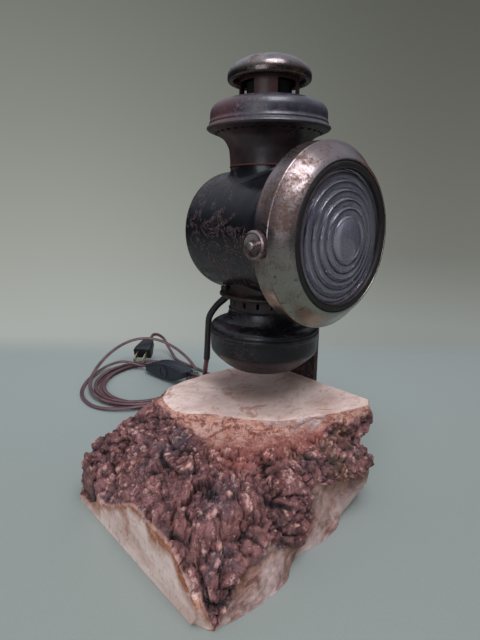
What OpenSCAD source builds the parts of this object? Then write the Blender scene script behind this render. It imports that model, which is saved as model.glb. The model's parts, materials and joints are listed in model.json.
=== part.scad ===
// Motor-car side lamp with a bull's-eye lens, wired as a table lamp on a burl block.
// Z is up, the lamp looks along -Y, and the lamp's upright axis stands at X = Y = 0.
// The table is Z = 0, and every size is in millimetres.

/* [Burl block] */
// Height of the sawn top above the table
block_h = 70; // [50:1:100]
// Height of the bark shoulder on the low side
block_low_h = 38; // [20:1:45]
// Reach of the block from the lamp's axis to its low side
block_left = 150; // [120:1:170]
// Reach of the block to the front
block_front = 112; // [90:1:130]
// Reach of the block to the back
block_back = 58; // [50:1:60]

/* [Bracket] */
// Width of the flat steel bracket
bracket_w = 38; // [28:1:44]
// Thickness of the bracket
bracket_t = 4.8; // [3:0.1:8]
// Height of the bracket's lower end above the table
bracket_foot = 14; // [8:1:24]
// Least gap between the fount's rim and the bracket
bracket_gap = 0.7; // [0.4:0.1:2]
// Radius of the screws that go into the block
wood_screw_r = 2.4; // [2:0.1:3]
// Length of those screws inside the block
wood_screw_len = 34; // [20:1:40]
// Radius of the bolts that go into the lamp's lug
lug_bolt_r = 2.5; // [2:0.1:3]
// Distance between the two lug bolts
lug_bolt_pitch = 18; // [14:1:22]
// Width of the cast lug on the lamp's side
lug_w = 32; // [28:1:36]
// Height of the cast lug
lug_h = 24; // [20:1:26]

/* [Fount] */
// Gap between the sawn top and the fount's flat bottom
fount_gap = 22; // [12:1:30]
// Height of the fount's bowl
bowl_h = 31; // [24:1:40]
// Outer radius of the fount's rim
fount_r = 45.8; // [38:0.1:46]
// Radius of the fount's flat bottom
fount_foot_r = 25; // [18:1:30]
// Height of the fount's top above the rim
shoulder_h = 20.5; // [16:0.5:26]
// Outer radius of the air ring under the lamp body
lower_neck_r = 29.4; // [26:0.1:30]
// Height of the slotted air ring
air_ring_h = 10; // [8:0.5:14]
// Number of slots in the air ring
air_slots = 16; // [8:1:24]
// Width of one slot
air_slot_w = 2.4; // [1.5:0.1:3]
// Reach of the flange under the lamp body beyond the air ring
flange_out = 8.6; // [6:0.1:10]
// Thickness of that flange
flange_t = 3; // [2:0.1:4]

/* [Lamp body] */
// Outer radius of the barrel about the door's axis
barrel_r = 49; // [46:0.5:52]
// Thickness of the spun steel
wall = 1.2; // [0.8:0.1:1.6]
// Reach of the barrel's back behind the upright axis
barrel_back = 55; // [52:0.5:60]
// Reach of the barrel's front edge
barrel_front = 60; // [58:0.5:62]
// Outer radius of the barrel's front edge
mouth_r = 62; // [58:0.5:62.4]
// Outer radius of the round collar on the barrel
collar_r = 29.2; // [26:0.1:31]
// Height of the collar's top above the barrel
collar_h = 1; // [0.5:0.1:3]

/* [Chimney] */
// Height of the neck above the collar
neck_h = 27; // [22:0.5:34]
// Radius of the hood's wall
hood_r = 44.6; // [40:0.1:46]
// Reach of the hood's flange beyond its wall
hood_flange_out = 2.8; // [2.4:0.1:6]
// Height of the hood above its flange
hood_h = 21; // [17:0.5:26]
// Number of slits under the hood
slits = 36; // [24:1:48]
// Radius of the vent gallery under the cap
gallery_r = 22.6; // [18:0.1:25]
// Height of the gallery's openings
vent_h = 11; // [8:0.5:14]
// Number of openings in the gallery
vents = 4; // [3:1:6]
// Angle that one opening spans
vent_angle = 46; // [30:1:50]
// Outer radius of the cap
cap_r = 31.4; // [28:0.1:36]
// Height of the cap
cap_h = 18; // [14:0.5:22]

/* [Door] */
// Outer radius of the door's band
band_r = 65.2; // [65:0.1:66]
// Depth of the band
band_w = 12; // [10:0.5:13]
// Reach of the band's rear edge in front of the upright axis
band_y = 52; // [50:0.5:53]
// Radius of the opening in the door's face
lens_seat_r = 51.6; // [48:0.1:54]
// Depth from the band's front to the lens seat's lip
face_h = 12.2; // [9:0.1:16]
// Width of the dark packing round the lens
packing_w = 5.3; // [4:0.1:8]
// Radius of the bull's eye in the lens
bull_r = 15.6; // [12:0.1:19]
// Rise of the lens from its edge to its middle
lens_rise = 9; // [6:0.5:12]
// Number of steps round the bull's eye
lens_steps = 5; // [3:1:7]

/* [Door fittings] */
// Radius of the hinge pin
hinge_pin_r = 1.6; // [1.2:0.1:2]
// Outer radius of the hinge knuckles
knuckle_r = 3; // [2.6:0.1:3.4]
// Length of the whole hinge
hinge_len = 30; // [24:1:40]
// Length of the door's knuckle
door_knuckle = 10; // [8:0.5:12]
// Radius of the latch knob
knob_r = 9.4; // [7:0.1:11]
// Thickness of the latch knob
knob_t = 5.4; // [4:0.1:7]
// Number of knurls on the knob
knurls = 48; // [30:1:60]
// Radius of the latch stud
stud_r = 2.4; // [1.8:0.1:3]
// Drop of the stud below the door's axis
stud_drop = 2.2; // [0:0.1:6]

/* [Light] */
// Radius of the bulb's glass
bulb_r = 16; // [12:0.5:18]
// Radius of the socket's shell
socket_r = 9; // [8:0.1:11]
// Radius of the bulb's screw base
bulb_base_r = 6; // [5:0.1:7]
// Width of the strap that carries the socket
strap_w = 14; // [10:1:18]
// Depth of the reflector
reflector_h = 18; // [12:1:18]

/* [Cord] */
// Diameter of the cord
cord_d = 4; // [3:0.1:4.4]
// Diameter of the black sleeve on the cord
sleeve_d = 5.2; // [4.8:0.1:6]
// Inner radius of the coil
coil_in_r = 63; // [58:1:70]
// Distance from one turn to the next
coil_pitch = 6.6; // [6:0.1:8]
// Turns in the lower layer
coil_turns_low = 2; // [2:1:3]
// Turns in the upper layer
coil_turns_high = 2.5; // [2.5:1:3.5]

/* [Switch and plug] */
// Length of the cord switch
switch_l = 84; // [76:1:90]
// Width of the cord switch
switch_w = 24; // [22:0.5:26]
// Thickness of the cord switch
switch_t = 18; // [16:0.5:20]
// Radius of the switch's dial
dial_r = 8; // [6:0.1:9]
// Length of the plug's body
plug_l = 28; // [22:0.5:30]
// Width of the plug's body
plug_w = 25; // [21:0.5:26]
// Thickness of the plug's body
plug_t = 15; // [12:0.5:16]
// Distance between the plug's blades
blade_pitch = 12.7; // [12.5:0.1:13]
// Width of one blade
blade_w = 6.4; // [6.2:0.1:6.6]
// Length of the blades outside the plug
blade_out = 17; // [15:0.5:18]

/* [Hidden] */
fine = 96;
clear = 0.3;
run_fit = 0.05;

// Sizes that follow from others
shoulder = (fount_r - lower_neck_r) / 16.4;
hood_flange_r = hood_r + hood_flange_out;
flange_r = lower_neck_r + flange_out;
lens_view_r = lens_seat_r - packing_w;

// Heights, from the table up
fount_z = block_h + fount_gap;
rim_z = fount_z + bowl_h;
air_ring_z = rim_z + shoulder_h;
flange_z = air_ring_z + air_ring_h;
flange_lap = 1.5;
axis_z = flange_z + flange_lap + barrel_r;
collar_z = axis_z + barrel_r + collar_h;
hood_z = collar_z + neck_h;
gallery_z = hood_z + hood_h;
cap_z = gallery_z + vent_h + 1.2;
cap_top = cap_z + cap_h;

// Places of the side pieces
bracket_x = max(fount_r + bracket_gap, 0.949 * barrel_r);
lug_z = axis_z - 0.84 * barrel_r;
bracket_top = lug_z + lug_h;
hinge_x = band_r + 4.3;
hinge_y = -(band_y - 3.5);
stud_y = -(band_y + 5.5);
stud_z = axis_z - stud_drop;
lip_y = band_y + band_w + face_h;

// Points on an arc, for turned profiles
function arc(cx, cy, r, from, to, n) =
    [for (i = [0:n]) let (a = from + (to - from) * i / n) [cx + r * cos(a), cy + r * sin(a)]];

// Closed profile of a turned sheet: an outer line and the same line drawn in by the wall
function sheet(line, w) = concat(line, [for (i = [len(line) - 1:-1:0]) line[i] - [w, 0]]);

module turned(points) {
    rotate_extrude($fn = fine) polygon(points);
}

// Turns a profile about the door's axis: the second coordinate is the reach to the front
module faced(points) {
    translate([0, 0, axis_z]) rotate([90, 0, 0]) turned(points);
}

// Stations round the block, clockwise from the bracket's front corner: each is a point of the sawn
// top's edge, four down the bark and one on the table. They are scaled to the block's sizes
block_drawn = [150, 112, 58, 70, 38];
block_stations = [
    [[46.5, -77, 70], [46.5, -81.5, 57], [46.5, -78, 47], [46.5, -68, 38], [46.5, -73, 20], [46.5, -78, 0]],
    [[38, -82, 70], [38, -84, 57], [34, -81, 46.5], [29, -74, 40], [26, -90, 22], [23, -86.5, 0]],
    [[15, -76, 70], [14, -80, 59], [14, -79, 49], [13, -101, 41], [12, -99, 20], [11, -89, 0]],
    [[0, -70.5, 70], [0, -74, 63], [0, -80, 53], [0, -106, 39], [-1, -101, 19], [-8, -96, 0]],
    [[-13, -65, 70], [-13, -70, 63], [-15, -80, 55], [-19, -100, 43], [-17, -97, 24], [-27, -103, 0]],
    [[-31, -56, 70], [-32, -62, 63], [-35, -74, 56], [-42, -91, 46], [-43, -98, 28], [-47, -104.5, 0]],
    [[-42, -46.5, 70], [-44, -54, 63.5], [-49, -66, 57], [-58, -90, 45], [-59, -101, 22], [-71, -102.5, 0]],
    [[-50, -38, 70], [-54, -46, 64], [-62, -60, 57], [-78, -84, 47], [-86, -104, 24], [-90, -112, 0]],
    [[-55, -31, 70], [-61, -40, 64], [-74, -55, 58], [-98, -80, 47], [-116, -105, 23], [-116, -112, 0]],
    [[-60, -23, 70], [-68, -32, 64], [-84, -47, 58], [-114, -74, 46], [-140, -105, 20], [-141, -108, 0]],
    [[-63, -17, 70], [-72, -25, 64], [-88, -37, 58], [-118, -61, 48], [-150, -98, 18], [-148.5, -95, 0]],
    [[-66, -12, 70], [-76, -18, 64.5], [-92, -28, 59], [-119, -46, 51], [-149.6, -78, 37], [-149.7, -78, 0]],
    [[-71, -6, 70], [-80, -11, 65], [-95, -17, 60], [-120, -30, 53], [-149.7, -52, 40], [-150, -52, 0]],
    [[-76, -2, 70], [-85, -4, 65], [-98, -8, 59], [-121, -14, 51], [-149.4, -33, 41], [-149.6, -33, 0]],
    [[-81, 3, 70], [-89, 3, 64], [-101, 3, 57], [-121, 0, 47], [-149.6, -5, 24], [-149.8, -5, 0]],
    [[-85, 13, 70], [-92, 15, 64], [-103, 17, 57], [-121, 18, 45], [-149.7, 14, 18], [-149.9, 14, 0]],
    [[-83, 27, 70], [-91, 30, 65], [-103, 33, 59], [-119, 36, 49], [-149.5, 36, 36], [-149.4, 38, 0]],
    [[-77, 41, 70], [-84, 43, 65], [-95, 46, 59], [-114, 49, 52], [-142, 50, 36], [-147, 52, 0]],
    [[-61, 54, 70], [-63, 55, 63], [-68, 56, 56], [-80, 57, 42], [-97, 57, 22], [-113, 57, 0]],
    [[-40, 57, 70], [-40, 57.3, 63], [-40, 57.5, 56], [-41, 58, 40], [-43, 58, 20], [-46, 58, 0]],
    [[-12, 56.5, 70], [-12, 56.7, 63], [-12, 57, 56], [-11, 57.5, 40], [-10, 57.5, 20], [-10, 57, 0]],
    [[20, 52, 70], [20, 52.4, 63], [20, 53, 56], [21, 54.5, 40], [21, 55.5, 20], [21, 55.5, 0]],
    [[46.5, 52, 70], [46.5, 52.4, 62], [46.5, 53, 54], [46.5, 54, 40], [46.5, 55.5, 20], [46.5, 55.5, 0]]];
function block_fit(p, row) = [p[0] < 0 ? p[0] * block_left / block_drawn[0] : p[0] * bracket_x / 46.5,
    p[1] * (p[1] < 0 ? block_front / block_drawn[1] : block_back / block_drawn[2]),
    p[2] * block_h / block_drawn[3] * (row == 4 ? block_low_h / block_drawn[4] : 1)];

module block_solid() {
    n = len(block_stations);
    m = len(block_stations[0]);
    points = [for (st = block_stations) for (k = [0:m - 1]) block_fit(st[k], k)];
    sides = [for (i = [0:n - 1]) for (k = [0:m - 2]) let (a = i * m + k, b = (i + 1) % n * m + k)
        each [[a, a + 1, b + 1], [a, b + 1, b]]];
    polyhedron(points = points, faces = concat(sides, [[for (i = [0:n - 1]) i * m],
        [for (i = [n - 1:-1:0]) i * m + m - 1]]));
}

module burl_block() {
    color("rosybrown") difference() {
        block_solid();
        for (p = block_screw_places())
            translate([bracket_x - wood_screw_len, p[0], p[1]]) rotate([0, 90, 0])
                cylinder(r = wood_screw_r, h = wood_screw_len + 1, $fn = 32);
    }
}

function block_screw_places() = let (side = 0.26 * bracket_w, low = bracket_foot + 0.2 * block_h)
    [[-side, low], [side, low], [0, 0.77 * block_h]];
lug_bolt_z = lug_z + lug_h / 3;
lug_bolt_in = bracket_x - sqrt(pow(barrel_r, 2) - pow(axis_z - lug_bolt_z - lug_bolt_r, 2)) - 1;
function lug_bolt_places() = [for (s = [-1, 1]) [s * lug_bolt_pitch / 2, lug_bolt_z]];

module bracket_plate() {
    color([0.2, 0.13, 0.12]) difference() {
        translate([bracket_x, -bracket_w / 2, bracket_foot])
            cube([bracket_t, bracket_w, bracket_top - bracket_foot]);
        for (p = block_screw_places()) translate([bracket_x - 1, p[0], p[1]]) rotate([0, 90, 0])
            cylinder(r = wood_screw_r, h = bracket_t + 2, $fn = 32);
        for (p = lug_bolt_places()) translate([bracket_x - 1, p[0], p[1]]) rotate([0, 90, 0])
            cylinder(r = lug_bolt_r, h = bracket_t + 2, $fn = 32);
    }
}

module block_screws() {
    head_r = 2 * wood_screw_r;
    color("dimgray") for (p = block_screw_places())
        translate([bracket_x - wood_screw_len, p[0], p[1]]) rotate([0, 90, 0]) difference() {
            union() {
                cylinder(r = wood_screw_r, h = wood_screw_len + bracket_t, $fn = 32);
                translate([0, 0, wood_screw_len + bracket_t]) cylinder(r1 = head_r, r2 = 0.7 * head_r,
                    h = 2.6, $fn = 32);
            }
            translate([-head_r, -0.5, wood_screw_len + bracket_t + 1.4]) cube([2 * head_r, 1, 2]);
        }
}

module lug() {
    color([0.13, 0.12, 0.13]) difference() {
        translate([bracket_x - 24, -lug_w / 2, lug_z]) cube([24, lug_w, lug_h]);
        barrel_solid();
        for (p = lug_bolt_places()) translate([bracket_x - lug_bolt_in, p[0], p[1]]) rotate([0, 90, 0])
            cylinder(r = lug_bolt_r, h = lug_bolt_in + 1, $fn = 32);
    }
}

module lug_bolts() {
    color("dimgray") for (p = lug_bolt_places()) translate([bracket_x - lug_bolt_in, p[0], p[1]])
        rotate([0, 90, 0]) {
            cylinder(r = lug_bolt_r, h = lug_bolt_in + bracket_t, $fn = 32);
            translate([0, 0, lug_bolt_in + bracket_t]) cylinder(r = 1.9 * lug_bolt_r, h = 3.4, $fn = 6);
        }
}

// Fount: a spun bowl and a spun top that meet at a rolled rim
module fount_bowl() {
    heel = fount_r - 1;
    color([0.09, 0.09, 0.11]) turned(concat([[0, fount_z], [fount_foot_r, fount_z]],
        [[fount_foot_r + 4.3, fount_z + 1.4], [fount_r - 12.2, fount_z + 4.6],
        [fount_r - 7.6, fount_z + 8.4], [fount_r - 3.5, fount_z + 12.6], [heel, fount_z + 15.6]],
        [[fount_r - 0.3, fount_z + 19], [fount_r - 0.3, rim_z - 2.4], [fount_r, rim_z - 1.6],
        [fount_r, rim_z], [fount_r - wall - 0.3, rim_z], [fount_r - wall - 0.3, fount_z + 19.4]],
        [[heel - wall, fount_z + 16.4], [fount_r - 3.5 - wall, fount_z + 13.6],
        [fount_r - 7.6 - wall, fount_z + 9.4], [fount_r - 12.2 - wall, fount_z + 5.8],
        [fount_foot_r + 3, fount_z + 2.6], [fount_foot_r - 1, fount_z + wall], [0, fount_z + wall]]));
}

module fount_top() {
    top = air_ring_z;
    s = shoulder;
    line = [[fount_r, rim_z], [fount_r, rim_z + 1], [fount_r - 0.7, rim_z + 2],
        [fount_r, rim_z + 3], [fount_r - 0.2, rim_z + 4.2], [fount_r - 1.4 * s, rim_z + 6.4],
        [fount_r - 4.2 * s, rim_z + 8.3]];
    flare = [[lower_neck_r + 9.3 * s, rim_z + 9], [lower_neck_r + 5 * s, rim_z + 10.2],
        [lower_neck_r + 2.9 * s, rim_z + 12.6], [lower_neck_r + 1.2 * s, rim_z + 16],
        [lower_neck_r + 0.5, top - 1.8], [lower_neck_r + 1, top - 1], [lower_neck_r + 0.5, top]];
    color([0.09, 0.09, 0.11]) turned(concat(line, flare,
        [[lower_neck_r - wall, top], [lower_neck_r - wall, rim_z + 15.6],
        [lower_neck_r + 1.6 * s, rim_z + 11.4], [lower_neck_r + 4.2 * s, rim_z + 9],
        [lower_neck_r + 9 * s, rim_z + 7.8], [fount_r - 4.8 * s, rim_z + 7.1],
        [fount_r - 2.6 * s, rim_z + 5.4], [fount_r - wall - 0.7, rim_z + 3.4],
        [fount_r - wall - 0.7, rim_z]]));
}

module air_ring() {
    color([0.25, 0.15, 0.14]) difference() {
        translate([0, 0, air_ring_z]) cylinder(r = lower_neck_r, h = air_ring_h, $fn = fine);
        translate([0, 0, air_ring_z - 1])
            cylinder(r = lower_neck_r - wall, h = air_ring_h + 2, $fn = fine);
        for (i = [0:air_slots - 1]) rotate([0, 0, (i + 0.5) * 360 / air_slots])
            translate([lower_neck_r - 3, -air_slot_w / 2, air_ring_z + 2.5])
                cube([6, air_slot_w, air_ring_h - 4.5]);
    }
}

module body_flange() {
    saddle = axis_z - sqrt(pow(barrel_r, 2) - pow(lower_neck_r, 2)) - 0.2;
    color([0.1, 0.1, 0.12]) difference() {
        turned(concat([[lower_neck_r - wall, flange_z], [flange_r - 2, flange_z]],
            arc(flange_r - flange_t / 2, flange_z + flange_t / 2, flange_t / 2, -90, 90, 8),
            [[lower_neck_r, flange_z + flange_t], [lower_neck_r, saddle], [lower_neck_r - wall, saddle]]));
        barrel_solid();
        translate([bracket_x - 24 - clear, -lug_w / 2 - clear, lug_z - clear])
            cube([24, lug_w + 2 * clear, lug_h]);
        cord_hole();
    }
}

// Barrel: domed behind, straight in the middle and flared to the door
dome_power = 4;
straight = 31;
function back_line(w) = let (r = barrel_r - w, b = barrel_back - straight - w, m = 8)
    [for (i = [0:m]) let (a = 90 * i / m)
        [r * pow(sin(a), 2 / dome_power), -straight - b * pow(cos(a), 2 / dome_power)]];
function mouth_line(w) = let (r = barrel_r - w, flare = mouth_r - barrel_r,
    k = barrel_front - 7 - straight)
    [[r, straight], [r + 0.14 * flare, straight + 0.2 * k], [r + 0.37 * flare, straight + 0.45 * k],
    [r + 0.7 * flare, straight + 0.7 * k], [r + 0.94 * flare, straight + 0.9 * k],
    [r + flare, straight + k], [r + flare, barrel_front]];
function backwards(line) = [for (i = [len(line) - 1:-1:0]) line[i]];

// The space that the whole body fills
module barrel_solid() {
    faced(concat(back_line(0), mouth_line(0), [[0, barrel_front]]));
}

cord_exit_angle = 131;
cord_exit_r = flange_r - 4.3;
cord_hole_r = 3.6;
module cord_hole() {
    rotate([0, 0, cord_exit_angle]) translate([cord_exit_r, 0, flange_z - 1])
        cylinder(r = cord_hole_r, h = 16, $fn = 32);
}

module barrel() {
    inside = barrel_r - wall;
    color([0.08, 0.08, 0.1]) difference() {
        faced([[inside, -straight], [barrel_r, -straight], [barrel_r, straight], [inside, straight]]);
        translate([0, 0, axis_z + 20]) cylinder(r = collar_r - 4, h = 60, $fn = fine);
        translate([0, 0, axis_z - barrel_r - 5]) cylinder(r = lower_neck_r - 4, h = 25, $fn = fine);
        cord_hole();
        for (y = socket_rivet_places()) translate([0, y, axis_z - barrel_r - 5])
            cylinder(r = 1.6, h = 20, $fn = 24);
    }
}

module body_back() {
    color([0.08, 0.08, 0.1]) faced(concat(back_line(0), backwards(back_line(wall))));
}

module body_mouth() {
    color([0.08, 0.08, 0.1]) difference() {
        faced(concat(mouth_line(0), backwards(mouth_line(wall))));
        translate([-barrel_r + 10, stud_y, stud_z]) rotate([0, -90, 0])
            cylinder(r = stud_r, h = mouth_r, $fn = 32);
    }
}

collar_low = axis_z + sqrt(pow(barrel_r, 2) - pow(collar_r, 2)) - 3.35;
module collar() {
    color([0.09, 0.08, 0.1]) difference() {
        translate([0, 0, collar_low]) cylinder(r = collar_r, h = collar_z - collar_low, $fn = fine);
        translate([0, 0, collar_low - 1]) cylinder(r = collar_r - wall, h = 60, $fn = fine);
        barrel_solid();
    }
}

module neck() {
    line = [[collar_r, collar_z], [collar_r + 0.1, collar_z + 4], [collar_r + 0.5, collar_z + 8.6],
        [collar_r + 1, collar_z + 13], [collar_r + 2.6, collar_z + 16.7],
        [collar_r + 4.9, hood_z - 6.4], [hood_r - 3, hood_z - 3.4], [hood_r + 1.6, hood_z - 0.8],
        [hood_r + 1.6, hood_z], [hood_r + 1.6 - wall, hood_z]];
    inner = [[hood_r - 3.4, hood_z - 2.2], [collar_r + 4.5, hood_z - 5.1],
        [collar_r + 1.4, collar_z + 17.2], [collar_r - 0.2, collar_z + 13.1],
        [collar_r - 0.8, collar_z + 8.6], [collar_r - wall, collar_z]];
    slit_w = 3.2;
    color([0.2, 0.15, 0.15]) difference() {
        turned(concat(line, inner));
        for (i = [0:slits - 1]) rotate([0, 0, i * 360 / slits])
            translate([hood_r - 5.4, -slit_w / 2, hood_z - 6]) cube([1.5, slit_w, 6]);
    }
}

module hood() {
    top = gallery_z;
    color([0.32, 0.29, 0.34]) turned(concat(
        [[hood_r + 1.6 - wall, hood_z], [hood_flange_r - 0.6, hood_z]],
        [[hood_flange_r, hood_z + 0.8], [hood_flange_r - 0.4, hood_z + 1.8],
        [hood_flange_r - 1.8, hood_z + 3.2], [hood_flange_r - 1.4, hood_z + 4.2],
        [hood_r + 0.5, hood_z + 5.6], [hood_r, hood_z + 6.6], [hood_r, hood_z + 9]],
        [[hood_r - 0.8, hood_z + 12.8], [hood_r - 2.4, top - 5.6], [hood_r - 4.6, top - 3.6],
        [hood_r - 8, top - 1.6], [hood_r - 12, top - 0.6], [gallery_r, top],
        [gallery_r, top - wall], [hood_r - 12.4, top - 0.6 - wall],
        [hood_r - 8.8, top - 2.8], [hood_r - 5.6, top - 4.8], [hood_r - 3.6, top - 6.6]],
        [[hood_r - wall - 0.8, hood_z + 12.4], [hood_r - wall, hood_z + 9],
        [hood_r - wall, hood_z + 3]]));
}

module draught_tube() {
    tube_r = gallery_r - 4;
    color([0.3, 0.28, 0.3]) difference() {
        union() {
            translate([0, 0, collar_z + 14]) cylinder(r = tube_r, h = gallery_z - collar_z - 14, $fn = 64);
            translate([0, 0, gallery_z - 2 * wall]) cylinder(r = gallery_r, h = wall, $fn = 64);
        }
        translate([0, 0, collar_z]) cylinder(r = tube_r - wall, h = 60, $fn = 64);
    }
}

// Wedge that spans one opening of the gallery
module vent_wedge(h) {
    far = 2 * gallery_r;
    half = vent_angle / 2;
    linear_extrude(h) polygon([[0, 0], [far * cos(half), -far * sin(half)],
        [far * cos(half), far * sin(half)]]);
}

first_vent = 353;
module vent_gallery() {
    color([0.3, 0.2, 0.19]) difference() {
        translate([0, 0, gallery_z - wall])
            cylinder(r = gallery_r, h = cap_inside(gallery_r) - gallery_z + wall, $fn = fine);
        translate([0, 0, gallery_z - wall - 1]) cylinder(r = gallery_r - wall, h = 60, $fn = fine);
        for (i = [0:vents - 1]) rotate([0, 0, first_vent + i * 360 / vents])
            translate([0, 0, gallery_z + 0.8]) vent_wedge(vent_h);
    }
}

// Cap: a low dome with a rolled edge
cap_bead = 2.4;
function cap_line(w) = let (r = cap_r - w, top = cap_top - w, low = cap_z + cap_bead + 1.6)
    [for (i = [0:14]) let (a = 90 * i / 14)
        [r * pow(cos(a), 0.86), low + (top - low) * pow(sin(a), 1.05)]];
function cap_inside(r) = let (low = cap_z + cap_bead + 1.6, x = r / (cap_r - wall),
    a = acos(pow(x, 1 / 0.86))) low + (cap_top - wall - low) * pow(sin(a), 1.05) - 0.4;

module cap() {
    bead_x = cap_r - cap_bead;
    bead_z = cap_z + cap_bead;
    inner = [for (i = [13:-1:0]) cap_line(wall)[i]];
    color([0.62, 0.6, 0.58]) turned(concat([[cap_r, bead_z]], cap_line(0),
        [[0, cap_top - wall]], inner,
        [[cap_r - wall, bead_z + 0.6]], arc(bead_x, bead_z, cap_bead, 180 - 40, 360, 12)));
}

// Door: a nickelled band and a sloped face round the lens
module door_bezel() {
    ridge = band_y + band_w;
    seat = lip_y - 7.8;
    color([0.6, 0.58, 0.55]) difference() {
        faced([[band_r - wall, band_y], [band_r, band_y], [band_r, ridge - 0.6],
            [band_r - 0.4, ridge + 0.5], [band_r - 1.3, ridge + 0.9],
            [band_r - 3.6, ridge + 3.1], [band_r - 6.6, ridge + 6.4],
            [lens_seat_r + 3.6, lip_y - 2.2], [lens_seat_r + 1.4, lip_y - 0.4], [lens_seat_r + 0.5, lip_y],
            [lens_seat_r, lip_y - 0.4], [lens_seat_r, seat], [lens_view_r - 1, seat],
            [lens_view_r - 1, seat - wall], [lens_seat_r + wall, seat - wall],
            [lens_seat_r + wall, lip_y - 3], [lens_seat_r + 3.2, lip_y - 4],
            [band_r - 7.4, ridge + 5], [band_r - 4.4, ridge + 1.8], [band_r - wall - 0.9, ridge - 0.8],
            [band_r - wall, ridge - 1.6]]);
        translate([-band_r - 5, stud_y - stud_r - 0.6, stud_z - stud_r - 0.6])
            cube([12, 40, 2 * stud_r + 1.2]);
    }
}

// Lens: steps that rise to a round bull's eye
function lens_f(r) = lip_y - 2.8 + lens_rise * (1 - pow(r / lens_view_r, 1.6)) - 1.6;
module lens() {
    back = lip_y - 7.8 + clear;
    edge_r = lens_seat_r - clear;
    step = (lens_view_r - 1 - bull_r) / lens_steps;
    dip = 1.5;
    steps = [for (i = [0:lens_steps - 1]) let (r = lens_view_r - 1 - i * step)
        each [[r, lens_f(r) - dip], [r - 0.18 * step, lens_f(r) + 0.1],
            [r - 0.55 * step, lens_f(r) + 0.75], [r - 0.88 * step, lens_f(r) + 0.55]]];
    eye = [for (i = [1:9]) let (a = 90 * i / 9)
        [bull_r * cos(a), lens_f(bull_r) - dip + (1.2 + lens_f(0) - lens_f(bull_r) + dip) * sin(a)]];
    color([0.45, 0.4, 0.45, 0.7]) faced(concat([[0, back], [edge_r, back], [edge_r, lip_y - 3.2]],
        [[lens_view_r - 0.4, lip_y - 3.2]], steps, [[bull_r, lens_f(bull_r) - dip]], eye));
}

module lens_gasket() {
    color([0.06, 0.05, 0.05]) faced([[lens_view_r, lip_y - 3.2], [lens_seat_r - clear, lip_y - 3.2],
        [lens_seat_r - clear, lip_y - 0.8], [lens_seat_r - 1.2, lip_y - 0.2],
        [lens_view_r + 0.6, lip_y - 0.6], [lens_view_r, lip_y - 1.2]]);
}

module lens_ring() {
    wire = 0.75;
    color([0.6, 0.56, 0.54]) faced(arc(lens_view_r + 1.2, lip_y - 0.5 + wire, wire, 0, 350, 14));
}

module knuckle(z0, z1, bore) {
    translate([hinge_x, hinge_y, axis_z + z0]) difference() {
        cylinder(r = knuckle_r, h = z1 - z0, $fn = 48);
        translate([0, 0, -1]) cylinder(r = bore, h = z1 - z0 + 2, $fn = 48);
    }
}

module body_hinge() {
    half = hinge_len / 2;
    gap = door_knuckle / 2 + clear;
    leaf_t = 3;
    color([0.1, 0.09, 0.1]) {
        for (s = [[-half, -gap], [gap, half]]) knuckle(s[0], s[1], hinge_pin_r);
        difference() {
            translate([barrel_r, hinge_y + hinge_pin_r + 0.4, axis_z - half])
                cube([hinge_x + 1 - barrel_r, leaf_t, hinge_len]);
            barrel_solid();
            translate([hinge_x, hinge_y, axis_z - gap])
                cylinder(r = knuckle_r + clear, h = 2 * gap, $fn = 48);
        }
    }
}

module door_hinge() {
    half = door_knuckle / 2;
    color([0.55, 0.52, 0.5]) {
        knuckle(-half, half, hinge_pin_r + run_fit);
        difference() {
            translate([band_r - 2, hinge_y - 12, axis_z - half])
                cube([3.6, 12, door_knuckle]);
            faced([[0, 0], [band_r, 0], [band_r, 90], [0, 90]]);
            translate([hinge_x, hinge_y, axis_z - half - 1])
                cylinder(r = hinge_pin_r + run_fit, h = door_knuckle + 2, $fn = 48);
        }
    }
}

module hinge_pin() {
    color([0.5, 0.48, 0.46]) {
        translate([hinge_x, hinge_y, axis_z - hinge_len / 2 - 0.6])
            cylinder(r = hinge_pin_r, h = hinge_len + 0.6, $fn = 48);
        translate([hinge_x, hinge_y, axis_z + hinge_len / 2])
            cylinder(r1 = hinge_pin_r + 0.9, r2 = hinge_pin_r, h = 1.6, $fn = 48);
    }
}

module latch_stud() {
    reach = band_r + clear + 0.1 + knob_t + 2.4;
    color([0.6, 0.56, 0.52]) translate([0, stud_y, stud_z]) rotate([0, -90, 0]) {
        translate([0, 0, mouth_r - wall - 3]) cylinder(r = stud_r + 1.6, h = 2.4, $fn = 6);
        translate([0, 0, mouth_r - wall - 1]) cylinder(r = stud_r, h = reach - mouth_r + wall, $fn = 48);
        translate([0, 0, reach - 1]) cylinder(r1 = stud_r, r2 = stud_r - 0.8, h = 0.8, $fn = 48);
    }
}

module latch_knob() {
    near = band_r + clear + 0.1;
    hub = 1.2;
    rim = [for (i = [0:2 * knurls - 1]) let (a = i * 180 / knurls, r = i % 2 == 0 ? knob_r : knob_r - 0.4)
        [r * cos(a), r * sin(a)]];
    color([0.45, 0.4, 0.38]) translate([0, stud_y, stud_z]) rotate([0, -90, 0]) difference() {
        union() {
            translate([0, 0, near]) cylinder(r = knob_r - 3, h = hub, $fn = 48);
            translate([0, 0, near + hub]) linear_extrude(knob_t - hub - 0.9) polygon(rim);
            translate([0, 0, near + knob_t - 0.9])
                cylinder(r1 = knob_r - 0.5, r2 = knob_r - 1.3, h = 0.9, $fn = 64);
        }
        translate([0, 0, near - 1]) cylinder(r = stud_r + run_fit, h = knob_t + 3, $fn = 48);
        translate([0, 0, near + knob_t - 0.8]) cylinder(r = stud_r + 1.3, h = 1, $fn = 48);
    }
}

// Light: a socket on a strap, its bulb and the reflector behind it
module reflector() {
    rim = barrel_r - wall - clear;
    deep = -(straight + 3 + reflector_h);
    line = [for (i = [0:12]) [rim * i / 12, deep + reflector_h * pow(i / 12, 2)]];
    color([0.75, 0.73, 0.72]) faced(concat(line, [for (i = [12:-1:0]) line[i] + [0, 0.8]]));
}

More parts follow.
